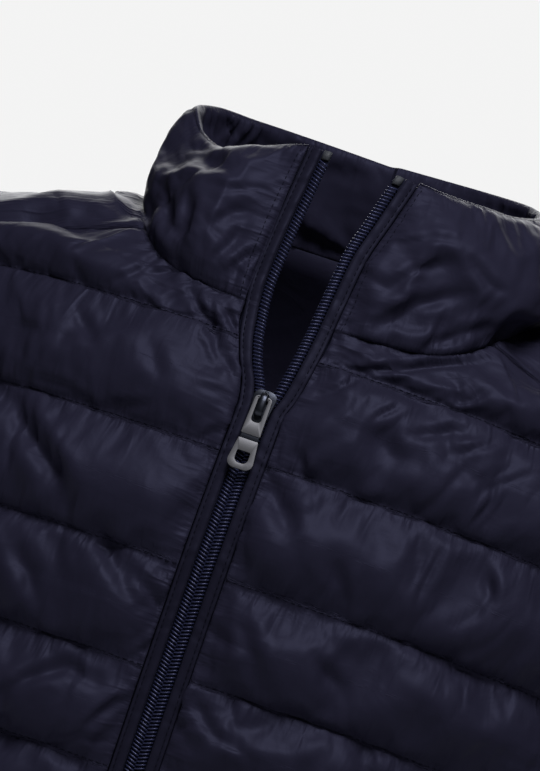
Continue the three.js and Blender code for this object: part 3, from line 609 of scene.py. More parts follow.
def newMaterial(name, look):  # colour and gloss that drift, over threads and creases
    material = bpy.data.materials.new(name)
    material.use_nodes = True
    tree = material.node_tree
    shader = tree.nodes["Principled BSDF"]
    vector = tree.nodes.new("ShaderNodeTexCoord").outputs["Object"]
    drift = placeEffect(tree, "drift", vector, Low=look.get("low", 0.9), High=look.get("high", 1.1))
    tint = tree.nodes.new("ShaderNodeVectorMath")
    tint.operation = "SCALE"
    tint.inputs[0].default_value = look["color"]
    tree.links.new(drift, tint.inputs["Scale"])
    tree.links.new(tint.outputs[0], shader.inputs["Base Color"])
    gloss = mathNode(tree, "MULTIPLY", drift, look["roughness"])
    tree.links.new(gloss, shader.inputs["Roughness"])
    shader.inputs["Metallic"].default_value = look.get("metallic", 0)
    shader.inputs["Sheen Weight"].default_value = look.get("sheen", 0)
    shader.inputs["Sheen Roughness"].default_value = look.get("sheenRoughness", 0.5)
    shader.inputs["Sheen Tint"].default_value = (*look.get("sheenTint", (1, 1, 1)), 1)
    shader.inputs["Specular IOR Level"].default_value = look.get("specular", 0.5)
    shader.inputs["Specular Tint"].default_value = (*look.get("gloss", (1, 1, 1)), 1)
    normal = None
    for layerName in look.get("puckered", []):
        layer = tree.nodes.new("ShaderNodeAttribute")
        layer.attribute_name = layerName
        folds = placeEffect(tree, "puckers", layer.outputs["Vector"])
        normal = bumpNode(tree, folds, 1, 1, normal)
    if look.get("creases"):
        creases = placeEffect(tree, "creases", vector, Sharp=look["sharp"], Soft=look["soft"])
        normal = bumpNode(tree, creases, look["creases"], 1, normal)
    if look.get("threads"):
        threads = placeEffect(tree, "threads", vector)
        normal = bumpNode(tree, threads, look["threads"], 1, normal)
    if normal:
        tree.links.new(normal, shader.inputs["Normal"])
    return material


navy = (0.0225, 0.0215, 0.0435)
blueGloss = (0.55, 0.58, 1.0)
looks = {
    "quilted_nylon_cloth": {
        "color": navy, "roughness": 0.5, "specular": 0.14, "gloss": blueGloss, "creases": 0.55, "sharp": 0.6,
        "soft": 1.2, "threads": 0.02, "low": 0.93, "high": 1.07, "puckered": ["seamPlace", "edgePlace"],
    },
    # the same nylon as the quilted panels, with its colour darkened for the flat strips beside the zip and
    # round the armholes: painted shade
    "flat_nylon_painted_shade": {
        "color": (0.0145, 0.0138, 0.028), "roughness": 0.55, "specular": 0.16, "gloss": blueGloss,
        "sheen": 0.04, "sheenTint": blueGloss, "creases": 0.2, "sharp": 0.4, "soft": 1.0, "threads": 0.03,
    },
    "zip_tape_weave": {
        "color": (0.012, 0.0125, 0.028), "roughness": 0.8, "specular": 0.2, "gloss": blueGloss,
        "threads": 0.12,
    },
    "coil_thread": {
        "color": (0.028, 0.032, 0.08), "roughness": 0.25, "specular": 0.7, "gloss": blueGloss,
        "low": 0.95, "high": 1.05,
    },
    "plain_lining": {
        "color": (0.022, 0.0215, 0.036), "roughness": 0.5, "specular": 0.2, "gloss": blueGloss,
        "creases": 0.3, "sharp": 0.3, "soft": 1.0, "threads": 0.02,
    },
    "tape_end": {"color": (0.055, 0.06, 0.075), "roughness": 0.6, "threads": 0.1},
    "slider_gunmetal": {"color": (0.05, 0.055, 0.075), "roughness": 0.3, "metallic": 0.9},
    "pull_satin_metal": {"color": (0.22, 0.22, 0.245), "roughness": 0.42, "metallic": 0.85},
    # real thread, but coloured darker than the cloth it is sewn into: painted shade of the stitch holes along
    # the seams
    "thread_painted_shade": {"color": (0.009, 0.009, 0.018), "roughness": 0.6, "specular": 0.15, "gloss": blueGloss},
    "pale_floor": {"color": (0.8, 0.8, 0.8), "roughness": 0.8, "low": 1, "high": 1},
}
finishes = {name: newMaterial(name, look) for name, look in looks.items()}
nylon = finishes["quilted_nylon_cloth"]
nylonPaintedShade = finishes["flat_nylon_painted_shade"]
tapeCloth = finishes["zip_tape_weave"]
coilThread = finishes["coil_thread"]

# The quilted panels
panels = {
    "frontColumns": 100, "backColumns": 140, "rowsPerChannel": 14, "backRowsPerChannel": 11, "hemRows": 3,
    "insideSteps": (2, 4), "startFullness": 0.9, "mitreOver": 0.06, "channelWidth": 48,
    "arcHeight": -200, "placketGathers": 1.3, "shoulderPuff": 0.72,
    "corner": {"reaches": (0.14, 0.11, 0.08, 0.05), "rowShare": 6, "rounds": 14, "factor": 0.5},
}
bodyArc = lengthsAlong(bodyPoint(np.arange(181.0), np.full(181, float(panels["arcHeight"]))))
frontCreases = [  # those seen from the front: points as x and height, then width and depth
    ([(-104, -106), (-88, -117), (-76, -125), (-67, -136)], 4.5, 3.2),
    ([(-102, -91), (-86, -90), (-73, -93)], 2.0, 1.0), ([(-101, -78), (-104, -93)], 2.2, 0.9),
    ([(-63, -91), (-45, -85)], 1.8, 0.9), ([(-25, -54), (-17, -62), (-11, -67)], 1.5, 1.0),
    ([(-29, -71), (-18, -70), (-10, -72)], 1.3, 0.8), ([(-21, -93), (-15, -87), (-10, -85)], 2.0, 1.2),
    ([(-52, -30), (-40, -41), (-30, -48), (-23, -60)], 2.2, 1.5), ([(-39, -34), (-32, -46)], 1.3, 0.9),
    ([(-31, -35), (-26, -41), (-20, -46)], 1.3, 0.9), ([(-119, -33), (-126, -48)], 1.8, 0.8),
    ([(-64, -20), (-74, -33), (-84, -43)], 1.8, 0.9), ([(-95, -57), (-79, -68)], 2.6, 0.9),
    ([(-56, -60), (-44, -74)], 3.5, 1.0), ([(-128, -84), (-118, -100), (-112, -104)], 5.0, 2.6),
    ([(30, -45), (46, -38), (62, -31), (81, -23)], 1.8, 1.7), ([(37, -45), (28, -54), (18, -61)], 1.6, 1.2),
    ([(76, -36), (79, -42), (84, -40), (89, -34)], 1.6, 1.2), ([(65, -63), (82, -55), (98, -54)], 2.4, 1.5),
    ([(84, -65), (101, -54)], 1.6, 1.0), ([(22, -84), (27, -91), (34, -95)], 2.2, 1.3),
    ([(13, -80), (14, -95)], 1.6, 0.9), ([(14, -102), (24, -110), (35, -121)], 5.5, 2.6),
    ([(53, -121), (64, -141)], 4.0, 1.6), ([(95, -105), (92, -124)], 1.3, 0.7),
    ([(115, -108), (122, -119)], 2.6, 1.4), ([(104, -65), (107, -78), (102, -92)], 1.2, 0.7),
    ([(44, -62), (60, -72), (78, -74)], 4.5, 1.3), ([(48, -60), (57, -52)], 1.4, 0.9),
    ([(-51, -143), (-36, -154), (-21, -169)], 4.0, 2.0), ([(-30, -154), (-18, -161), (-7, -171)], 2.4, 1.5),
    ([(-16, -191), (-9, -182), (-3, -175)], 2.0, 1.2),
    ([(-68, -228), (-55, -212), (-42, -203), (-27, -206)], 3.0, 1.8),
    ([(-28, -231), (-15, -210), (-8, -207)], 2.0, 1.2), ([(-39, -237), (-26, -231), (-12, -228)], 1.8, 1.0),
    ([(22, -160), (34, -172), (40, -186)], 4.5, 1.8), ([(60, -165), (74, -176)], 3.0, 1.4),
    ([(15, -200), (28, -210), (46, -214)], 2.6, 1.3), ([(-84, -160), (-70, -172), (-62, -186)], 4.5, 2.2),
    ([(-118, -150), (-104, -160)], 3.0, 1.4), ([(88, -196), (104, -212)], 3.5, 1.6),
    ([(-94, -196), (-86, -214)], 2.6, 1.3), ([(48, -232), (60, -222), (76, -220)], 2.4, 1.3),
]
otherCreases = {
    "seed": 5, "perChannel": 5, "frontFrom": 4, "long": (14, 44), "wide": (1.4, 5), "deep": (0.8, 2.6),
}
folds = [  # the largest, where the padding is pressed in: a middle, a slant, half a length and a width
    {"x": -112, "height": -92, "slant": 62, "long": 34, "wide": 9, "deep": 6},
    {"x": -36, "height": -66, "slant": 48, "long": 30, "wide": 10, "deep": 5},
    {"x": 62, "height": -74, "slant": -58, "long": 26, "wide": 10, "deep": 4.5},
    {"x": 118, "height": -78, "slant": -35, "long": 30, "wide": 9, "deep": 4.5},
    {"x": -58, "height": -170, "slant": 66, "long": 20, "wide": 10, "deep": 4},
    {"x": 78, "height": -168, "slant": -64, "long": 22, "wide": 10, "deep": 4},
    {"x": -96, "height": -214, "slant": 40, "long": 24, "wide": 10, "deep": 3.5},
    {"x": 104, "height": -122, "slant": -50, "long": 20, "wide": 10, "deep": 3.5},
]


def foldDepth(points):
    depth = np.zeros(len(points))
    for fold in folds:
        slant = math.radians(fold["slant"])
        dx, dz = points[:, 0] - fold["x"], points[:, 2] - fold["height"]
        along = (dx * math.cos(slant) - dz * math.sin(slant)) / fold["long"]
        across = (dx * math.sin(slant) + dz * math.cos(slant)) / fold["wide"]
        depth += fold["deep"] * np.exp(-(along**2) - across**2)
    return depth


def panelKind(kind, side):
    onBack = kind == "back"
    channels = len(sewnLines["front"]) - 1 + (1 if onBack else 0)  # padded ones
    perChannel = panels["backRowsPerChannel"] if onBack else panels["rowsPerChannel"]
    rows = channels * perChannel + panels["hemRows"]
    paddedPart = channels * perChannel / rows
    neckPart = cut["backNeckPart"] if onBack else cut["frontNeckPart"]

    def layout(across, down):  # grid shares to the place along a line and the channel count
        rowPlace = down
        inHem = rowPlace > paddedPart
        channel = np.where(
            inHem, channels + (rowPlace - paddedPart) / (1 - paddedPart), rowPlace / paddedPart * channels
        )
        if onBack:
            return np.abs(2 * across - 1), channel, np.where(across < 0.5, -1, 1)
        return across, channel, np.full(len(across), side)

    def readPlace(place, channel):
        return backPlace(place, channel) if onBack else frontPlace(side, place, channel)

    def places(across, down):
        place, channel, sign = layout(across, down)
        return (*readPlace(place, channel), place, channel, sign)

    def inside(across, down):
        angle, height, _, _, _, _, sign = places(across, down)
        return mirrorX(bodyPoint(angle, height), sign)

    def outside(across, down, full=1.0):
        angle, height, mitre, _, place, channel, sign = places(across, down)
        inner = bodyPoint(angle, height)
        atTop = clamp01(1 - channel * 4) * clamp01(1 - (place - neckPart) / panels["mitreOver"])
        normal = unit(mix(bodyNormal(angle, height), mitre, atTop[:, None]))
        edge = bodyPoint(*readPlace(np.ones(len(place)), channel)[:2])
        rise = np.linalg.norm(inner - edge, axis=1)
        if not onBack:
            zipEdge = bodyPoint(*frontPlace(side, np.zeros(len(place)), channel)[:2])
            rise = np.minimum(rise, np.linalg.norm(inner - zipEdge, axis=1))
        nearEdge = np.sin(np.minimum(rise / cut["edgeRise"], 1) * np.pi / 2)
        start = np.minimum(np.floor(channel), channels)
        ends = [places(across, shareOf(start + step))[:2] for step in (0, 1)]
        width = np.linalg.norm(bodyPoint(*ends[0]) - bodyPoint(*ends[1]), axis=1)
        crest = np.minimum(cut["puffHeight"], width * cut["puffShare"])
        padding = fullness(channel - start) * (channel < channels)
        if onBack:
            joined = fullness(channel / 2)
            lineShare = ease((place - cut["ridgeLineFrom"]) / (cut["ridgeLineFull"] - cut["ridgeLineFrom"]))
            padding = np.where(channel < 2, mix(joined, padding, lineShare) * panels["shoulderPuff"], padding)
        lift = crest * padding * nearEdge * full
        if not onBack:
            lift = np.maximum(lift - foldDepth(mirrorX(inner, sign)) * lift / cut["puffHeight"], 0)
        raised = cut["seamThickness"] + lift
        return mirrorX(inner + normal * raised[:, None], sign)

    def shareOf(channel):
        inHem = channel > channels
        return np.where(
            inHem, mix(paddedPart, 1, np.minimum(channel - channels, 1)), channel / channels * paddedPart
        )

    columns = panels["backColumns"] if onBack else panels["frontColumns"]
    return {
        "rows": rows, "columns": columns, "channels": channels, "layout": layout,
        "inside": inside, "outside": outside, "shareOf": shareOf, "readPlace": readPlace, "onBack": onBack,
        "side": side,
    }


def scatteredCreases(kind, seed):  # similar creases where the photo doesn't reach: on the back and below
    random = np.random.default_rng(seed)
    first = 1 if kind["onBack"] else otherCreases["frontFrom"]
    heights = sewnLines["back" if kind["onBack"] else "front"]
    reach = (-250, 250) if kind["onBack"] else (12, 240)
    creases = []
    for channel in range(first, len(heights) - 2):
        for _ in range(otherCreases["perChannel"] * (2 if kind["onBack"] else 1)):
            fromAbove = random.random() < 0.5
            start = np.array([random.uniform(*reach), heights[channel + (0 if fromAbove else 1)]])
            slant = np.radians(random.uniform(20, 75)) * random.choice([-1, 1])
            long = random.uniform(*otherCreases["long"])
            rise = -abs(np.sin(slant)) if fromAbove else abs(np.sin(slant))
            step = np.array([np.cos(slant), rise]) * long / 2
            bend = np.array([-step[1], step[0]]) * random.uniform(-0.25, 0.25)
            wide = random.uniform(*otherCreases["wide"])
            deep = np.interp(wide, otherCreases["wide"], otherCreases["deep"]) * random.uniform(0.6, 1)
            creases.append(([start, start + step + bend, start + 2 * step], wide, deep))
    return creases


def aroundBody(angle):
    return np.interp(angle, np.arange(181.0), bodyArc)


def panelRelief(kind, across, down, points, seed):  # how far each point of the outside moves out
    place, channel, sign = kind["layout"](across, down)
    read = kind["readPlace"]
    angle, height = read(place, channel)[:2]
    around = aroundBody(angle)
    armAway = np.abs(aroundBody(read(np.ones(len(place)), channel)[0]) - around)
    line = np.round(channel)
    away = np.abs(channel - line) * panels["channelWidth"]
    lineSeed = line * 7.3 + (channel > line) * 3.1 + seed
    relief = gatherDepth(around * sign, away, lineSeed)
    relief += gatherDepth(height, armAway, 90.5 + seed)
    free = 1 - np.exp(-((away / dents["start"]) ** 2))
    border = np.minimum(away, armAway)
    if kind["onBack"]:
        relief += creaseDepth(around * sign, height, scatteredCreases(kind, otherCreases["seed"]))
    else:
        edgeAngle = angleAt(openingAt(kind["side"], height) + cut["panelEdge"], height, False)
        zipAway = np.maximum(around - aroundBody(edgeAngle), 0)
        relief += gatherDepth(height, zipAway, 40.5 + seed) * panels["placketGathers"]
        free *= 1 - np.exp(-((zipAway / dents["start"]) ** 2))
        border = np.minimum(border, zipAway)
        creases = creaseDepth(points[:, 0], points[:, 2], frontCreases)
        creases += creaseDepth(around, height, scatteredCreases(kind, otherCreases["seed"] + kind["side"]))
        relief += creases
    relief += dentDepth(around * sign, height, free)
    edgeAway = armAway if kind["onBack"] else np.minimum(armAway, zipAway)
    return relief * ease(border / gathers["start"]), (around * sign, away, lineSeed), (height, edgeAway, seed)


def outwardNormals(mesh, outward):
    normals = readNormals(mesh)
    return normals * np.sign(np.sum(normals * outward))


sewing = {"pitch": 3.3, "long": 2.4, "thread": 0.19, "thin": 0.1, "rise": 0.12, "sides": 4,
    "edgePitch": 2.9, "edgeLong": 2.1,
}


def stitchMesh(long):
    rise, sink = sewing["rise"], -sewing["thread"]
    path = [(0, -long / 2, sink), (0, -long / 4, rise), (0, long / 4, rise), (0, long / 2, sink)]
    sizes = [(sewing["thin"],) * 2, (sewing["thread"],) * 2, (sewing["thread"],) * 2, (sewing["thin"],) * 2]
    return smallTube("stitch", path, sizes, sewing["sides"])


def sewLines(name, lines, pitch, long, material):  # each line has its points and the ways out there
    frames = []
    for points, outward in lines:
        total = lengthsAlong(points)[-1]
        frames += framesAlong(points, outward, np.arange(pitch / 2, total - pitch / 2, pitch))
    obj = newObject(name, spreadCopies(name, stitchMesh(long), frames), material)
    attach(obj, "garment")
    return obj


def rowOf(layer, order, value, points, normals):  # the mesh's own points along one grid line
    found = np.flatnonzero(np.abs(layer - value) < 1e-4)
    found = found[np.argsort(order[found])]
    return points[found], normals[found]


def sewnGroup(obj, kind):  # the points that thread holds: sewn lines and borders
    mesh = obj.data
    across, down = readLayer(mesh, "across"), readLayer(mesh, "down")
    place, channel, _ = kind["layout"](across, down)
    near = 1e-3
    onLine = np.abs(channel - np.round(channel)) < near
    held = onLine | (across < near) | (across > 1 - near) | (down < near) | (down > 1 - near)
    held |= channel > kind["channels"]
    if kind["onBack"]:  # over the neck's back the two shoulder channels are one
        held &= ~((np.abs(channel - 1) < near) & (place < cut["ridgeLineFrom"]) & (across > near))
    group = obj.vertex_groups.new(name="sewn")
    group.add([int(i) for i in np.flatnonzero(held)], 1.0, "REPLACE")


# Cloth: pressure and some spare length swell the padded sheets between their sewn lines
cloth = {
    "frames": 20, "quality": 5, "mass": 0.1, "tension": 12, "shear": 4, "bending": 0.3, "pressure": 3.0,
    "spare": 0.035, "damping": 1.0, "cap": 7.0,
}


def addCloth(obj, pressure, spare):
    modifier = obj.modifiers.new("swell", "CLOTH")
    settings = modifier.settings
    settings.quality = cloth["quality"]
    settings.mass = cloth["mass"]
    settings.tension_stiffness = settings.compression_stiffness = cloth["tension"]
    settings.shear_stiffness = cloth["shear"]
    settings.bending_stiffness = cloth["bending"]
    settings.air_damping = cloth["damping"]
    settings.use_pressure = True
    settings.uniform_pressure_force = pressure
    settings.shrink_min = -spare
    settings.vertex_group_mass = "sewn"
    settings.effector_weights.gravity = 0
    modifier.collision_settings.use_collision = False
    modifier.point_cache.frame_start = 1
    modifier.point_cache.frame_end = cloth["frames"]


def swell(sheets):
    starts = {obj.name: readPoints(obj.data) for obj in sheets}
    for frameNumber in range(1, cloth["frames"] + 1):
        scene.frame_set(frameNumber)
    graph = bpy.context.evaluated_depsgraph_get()
    for obj in sheets:
        swollen = readPoints(obj.evaluated_get(graph).data)
        move = swollen - starts[obj.name]
        length = np.linalg.norm(move, axis=1, keepdims=True)
        cap = cloth["cap"] * mm
        held = cap * np.tanh(length / cap) / np.maximum(length, 1e-9)
        obj.modifiers.clear()
        writePoints(obj.data, starts[obj.name] + move * held)
        print(f"{obj.name} moved {length.mean() / mm:.1f} mm on average, {length.max() / mm:.1f} at most")
    scene.frame_set(1)


def subdivided(obj):  # one more level, kept as plain points
    modifier = obj.modifiers.new("finer", "SUBSURF")
    modifier.levels = modifier.render_levels = 1
    modifier.boundary_smooth = "PRESERVE_CORNERS"
    graph = bpy.context.evaluated_depsgraph_get()
    finer = bpy.data.meshes.new_from_object(obj.evaluated_get(graph), depsgraph=graph)
    obj.modifiers.clear()
    obj.data = finer


def closeWall(obj, insideMesh):
    bm = bmesh.new()
    bm.from_mesh(obj.data)
    bm.from_mesh(insideMesh)
    runs = [sideEdges(bm, layer, value) for layer in ("across", "down") for value in (0, 1)]
    for edges in runs:
        for face in bmesh.ops.bridge_loops(bm, edges=edges)["faces"]:
            face.material_index = 1
    bmesh.ops.recalc_face_normals(bm, faces=bm.faces)
    bm.to_mesh(obj.data)
    bm.free()
    smoothShade(obj.data)


def evenCorner(mesh, kind):  # the sheet is evened where the shoulder's line leaves the neck and turns sharply
    corner = panels["corner"]
    place, channel, _ = kind["layout"](readLayer(mesh, "across"), readLayer(mesh, "down"))
    bm = bmesh.new()
    bm.from_mesh(mesh)
    bm.verts.ensure_lookup_table()
    for reach in corner["reaches"]:
        near = np.abs(place - cut["backNeckPart"]) < reach
        near &= np.abs(channel - 1) < reach * corner["rowShare"]
        chosen = [bm.verts[int(number)] for number in np.flatnonzero(near)]
        for _ in range(corner["rounds"]):
            bmesh.ops.smooth_vert(bm, verts=chosen, factor=corner["factor"], use_axis_x=True,
                                  use_axis_y=True, use_axis_z=True)
    bm.to_mesh(mesh)
    bm.free()


def makePanel(name, kindName, side, material):
    kind = panelKind(kindName, side)

    def start(across, down):
        return kind["outside"](across, down, panels["startFullness"])

    mesh = gridMesh(name, kind["columns"], kind["rows"], start)
    if kind["onBack"]:
        evenCorner(mesh, kind)
    obj = newObject(name, mesh, material)
    sewnGroup(obj, kind)
    return obj, kind


def finishPanel(obj, kind, node, seed):
    subdivided(obj)
    mesh = obj.data
    across, down = readLayer(mesh, "across"), readLayer(mesh, "down")
    points = readPoints(mesh) / mm
    outward = points - kind["inside"](across, down)
    relief, seamPlace, edgePlace = panelRelief(kind, across, down, points, seed)
    points = points + outwardNormals(mesh, outward) * relief[:, None]
    writePoints(mesh, points * mm)
    writePlaces(mesh, "seamPlace", *seamPlace)
    writePlaces(mesh, "edgePlace", *edgePlace)
    normals = outwardNormals(mesh, outward)
    shares = [kind["shareOf"](np.array(float(line))) for line in range(1, kind["channels"] + 1)]
    lines = [rowOf(down, across, share, points, normals) for share in shares]
    if kind["onBack"]:  # the shoulder's sewn line stops short of the neck
        points0, normals0 = lines[0]
        keep = np.abs(2 * np.linspace(0, 1, len(points0)) - 1) > cut["ridgeLineFull"]
        half = len(points0) // 2
        lines[0] = (points0[:half][keep[:half]], normals0[:half][keep[:half]])
        lines.append((points0[half:][keep[half:]], normals0[half:][keep[half:]]))
    sewLines("quilting_thread_" + node, lines, sewing["pitch"], sewing["long"], finishes["thread_painted_shade"])
    columns, rows = (kind[way] // step for way, step in zip(("columns", "rows"), panels["insideSteps"]))
    inside = gridMesh(obj.name + "_inside", columns, rows, kind["inside"])
    inside.polygons.foreach_set("material_index", np.ones(len(inside.polygons), int))
    closeWall(obj, inside)
    obj.data.materials.clear()
    obj.data.materials.append(nylon)
    obj.data.materials.append(finishes["plain_lining"])
    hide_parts(node)
    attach(obj, "garment")


# The collar: one sheet that wraps from its sewn foot over the upper edge and down its inner face
collar = {
    "columns": 168, "rows": 52, "outerPart": 0.54, "topPart": 0.06, "frontPart": 0.34, "innerPuff": 5,
    "topRound": 1.2, "pressure": 3.0, "spare": 0.03, "arcPerDegree": 1.4, "height": 76, "topGathers": 0.6,
    "edgeGathers": 1.3, "dents": 1.3, "seamColumn": 2, "topPuckers": 3,
}


def collarPlace(across, down):
    side = np.where(across < 0.5, -1, 1)
    fromFront = 1 - np.abs(2 * across - 1)
    inFront = fromFront <= collar["frontPart"]
    outer, top = collar["outerPart"], collar["topPart"]
    along = np.where(down < outer, down / outer, clamp01((1 - down) / (1 - outer - top)))
    edges = [collarEdgeAngle(sign, along, cut["panelEdge"]) for sign in (-1, 1)]
    edge = np.where(side < 0, edges[0], edges[1])
    seam = cut["shoulderSeamAngle"]
    frontAngle = mix(edge, seam, np.minimum(fromFront / collar["frontPart"], 1))
    backAngle = mix(seam, 180, clamp01((fromFront - collar["frontPart"]) / (1 - collar["frontPart"])))
    ringAngle = np.where(inFront, frontAngle, backAngle)
    fromEdge = np.radians(ringAngle - edge) * cut["neckHalfWidth"]
    return side, ringAngle, along, fromEdge


collarDrape = {  # how the worn collar leaves its cut form, by ring angle, in mm or as a share of its puff
    "angle": [0, 14, 35, 55, 72, 85, 105, 125, 180],
    "rightLift": [0, 0, -3, -7, -6, 0, 1, 0, -0.5],
    "leftLift": [0, 0, 2.5, 5.5, 5, 4, 3.5, 3, 0.5],
    "rightPuff": [1, 1, 1, 0.75, 0.6, 0.6, 0.8, 1, 1],
    "leftPuff": [1, 1, 1, 1, 1, 1, 1, 1, 1],
    "rightTop": [0, 0, 0, 1, 5, 9, 6, 1, 0],
    "leftTop": [0, 0, 0, 0, 0, 0, 0, 0, 0],
    "rightOut": [0, 0, 0, 0, 0, 0, 0, 0, 0],
    "leftOut": [0, 0, 0, 3, 6, 6, 4, 2, 0],
    "rightDown": [0, 0, 0, 0, 0, 0, 0, 0, 0],
    "leftDown": [0, 0, 0, 3, 6, 7, 5, 2, 0],
}


def drapeAt(key, side, ringAngle):
    right, left = [readTable(collarDrape, "angle", word + key, ringAngle) for word in ("right", "left")]
    return np.where(side < 0, right, left)


def collarWall(across, down):
    side, ringAngle, along, fromEdge = collarPlace(across, down)
    point = collarPoint(ringAngle, along)
    normal = collarNormal(ringAngle, along)
    atFoot = clamp01(1 - along * 10)
    normal = unit(mix(normal, neckMitre(ringAngle), atFoot[:, None]))
    nearEdge = np.sin(np.minimum(fromEdge / cut["edgeRise"], 1) * np.pi / 2)
    proud = readTable(collarSection, "along", "proud", along) * cut["collarPuff"]
    proud = proud * drapeAt("Puff", side, ringAngle)
    outOuter = mix(cut["seamThickness"], np.maximum(proud, cut["seamThickness"]), nearEdge)
    outInner = -collar["innerPuff"] * np.sin(np.pi * along) ** 0.7 * nearEdge
    over = clamp01((down - collar["outerPart"]) / collar["topPart"])
    out = np.where(down < collar["outerPart"], outOuter, outInner)
    onTop = (over > 0) & (over < 1)
    out = np.where(onTop, mix(cut["seamThickness"], 0, over), out)
    lift = np.where(onTop, collar["topRound"] * np.sin(np.pi * over), 0)
    isOuter = down < collar["outerPart"]
    hang = np.where(isOuter, np.sin(np.pi * clamp01(along * 1.25 + 0.12)) ** 2, 0)
    out += drapeAt("Out", side, ringAngle) * hang + drapeAt("Top", side, ringAngle) * along**2
    placed = point + normal * out[:, None]
    placed[:, 2] += lift + drapeAt("Lift", side, ringAngle) * along**1.5
    placed[:, 2] -= drapeAt("Down", side, ringAngle) * hang * (1 - along)
    return mirrorX(placed, side)


def makeCollar(material):
    mesh = gridMesh("padded_collar", collar["columns"], collar["rows"], collarWall)
    obj = newObject("padded_collar", mesh, material)
    across, down = readLayer(mesh, "across"), readLayer(mesh, "down")
    near = 1e-3
    held = (across < near) | (across > 1 - near) | (down < near) | (down > 1 - near)
    held |= np.abs(down - collar["outerPart"] - collar["topPart"] / 2) < collar["topPart"]
    group = obj.vertex_groups.new(name="sewn")
    group.add([int(i) for i in np.flatnonzero(held)], 1.0, "REPLACE")
    return obj


collarCreases = [  # on its outer face, as x and height seen from the front
    ([(-31, -23), (-33, -17), (-30, -12), (-20, -7)], 2.2, 1.6), ([(-50, -4), (-42, 4), (-33, 10)], 2.6, 1.2),
    ([(-75, 1), (-70, -8), (-67, -12)], 3.2, 2.0), ([(-63, 3), (-61, -8), (-64, -16)], 3.0, 1.6),
    ([(-44, -20), (-38, -8), (-36, 2)], 2.4, 1.2), ([(-26, -27), (-24, -16), (-19, -10)], 1.8, 1.1),
    ([(-78, 24), (-62, 20), (-50, 24)], 3.5, 1.2), ([(-58, 12), (-46, 14), (-30, 20)], 2.0, 0.8),
    ([(36, -24), (48, -8), (66, 4)], 3.0, 1.6), ([(54, -26), (70, -14), (84, -6)], 2.6, 1.4),
    ([(34, -6), (42, 6), (56, 14)], 2.4, 1.0), ([(60, 20), (74, 10), (84, 8)], 3.0, 1.3),
    ([(30, 14), (44, 22), (60, 24)], 2.0, 0.8), ([(74, -20), (82, -12), (88, -2)], 2.2, 1.2),
]
innerPleats = [  # on its inner face, as distance round the ring and height up it
    ([(-163, 76), (-160, 64), (-161, 52)], 1.5, 1.7), ([(-152, 76), (-160, 62)], 1.3, 1.5),
    ([(-172, 76), (-168, 60)], 1.6, 1.3), ([(-140, 76), (-142, 60)], 1.2, 0.9),
    ([(148, 76), (156, 58)], 1.6, 1.3),
    ([(-60, 70), (-70, 40)], 3.0, 1.3), ([(40, 66), (60, 44)], 3.0, 1.3), ([(190, 72), (196, 50)], 2.2, 1.2),
    ([(-215, 60), (-205, 40)], 3.0, 1.4), ([(225, 66), (214, 36)], 3.0, 1.4),
]
outerFolds = [  # round the sides and back of its outer face
    ([(-178, 8), (-168, 30), (-172, 48)], 3.5, 2.0), ([(-205, 4), (-198, 22)], 2.4, 1.4),
    ([(-150, 70), (-158, 52), (-152, 36)], 2.6, 1.5), ([(160, 6), (172, 26), (168, 44)], 3.2, 1.9),
    ([(196, 68), (188, 50)], 2.4, 1.4), ([(214, 4), (222, 24)], 2.8, 1.5),
    ([(-232, 66), (-226, 44)], 2.6, 1.4),
    ([(132, 66), (142, 50), (138, 36)], 2.4, 1.4), ([(-128, 6), (-136, 26)], 2.4, 1.4),
]


def collarRelief(across, down, points):
    side, ringAngle, along, fromEdge = collarPlace(across, down)
    around = ringAngle * collar["arcPerDegree"] * side
    up = along * collar["height"]
    isOuter = down < collar["outerPart"]
    top = collar["height"] - up
    seed = np.where(isOuter, 55.1, 71.7)
    relief = gatherDepth(around, up, seed) + gatherDepth(around, top, seed + 6.1) * collar["topGathers"]
    relief += gatherDepth(up, np.maximum(fromEdge, 0), seed + side * 2.3) * collar["edgeGathers"]
    border = np.minimum(np.minimum(up, top), np.maximum(fromEdge, 0))
    free = 1 - np.exp(-((border / dents["start"]) ** 2))
    isFront = isOuter & (points[:, 1] < 0)
    relief += np.where(isFront, creaseDepth(points[:, 0], points[:, 2], collarCreases), 0)
    relief += np.where(isOuter & ~isFront, creaseDepth(around, up, outerFolds), 0)
    relief += np.where(isOuter, 0, creaseDepth(around, up, innerPleats))
    relief += dentDepth(around + np.where(isOuter, 0, 300), up, free) * collar["dents"]
    seamPlace = (around, np.minimum(up, top + collar["topPuckers"]), seed)
    edgePlace = (up, np.maximum(fromEdge, 0), seed + side * 2.3)
    return relief * ease(border / gathers["start"]), seamPlace, edgePlace


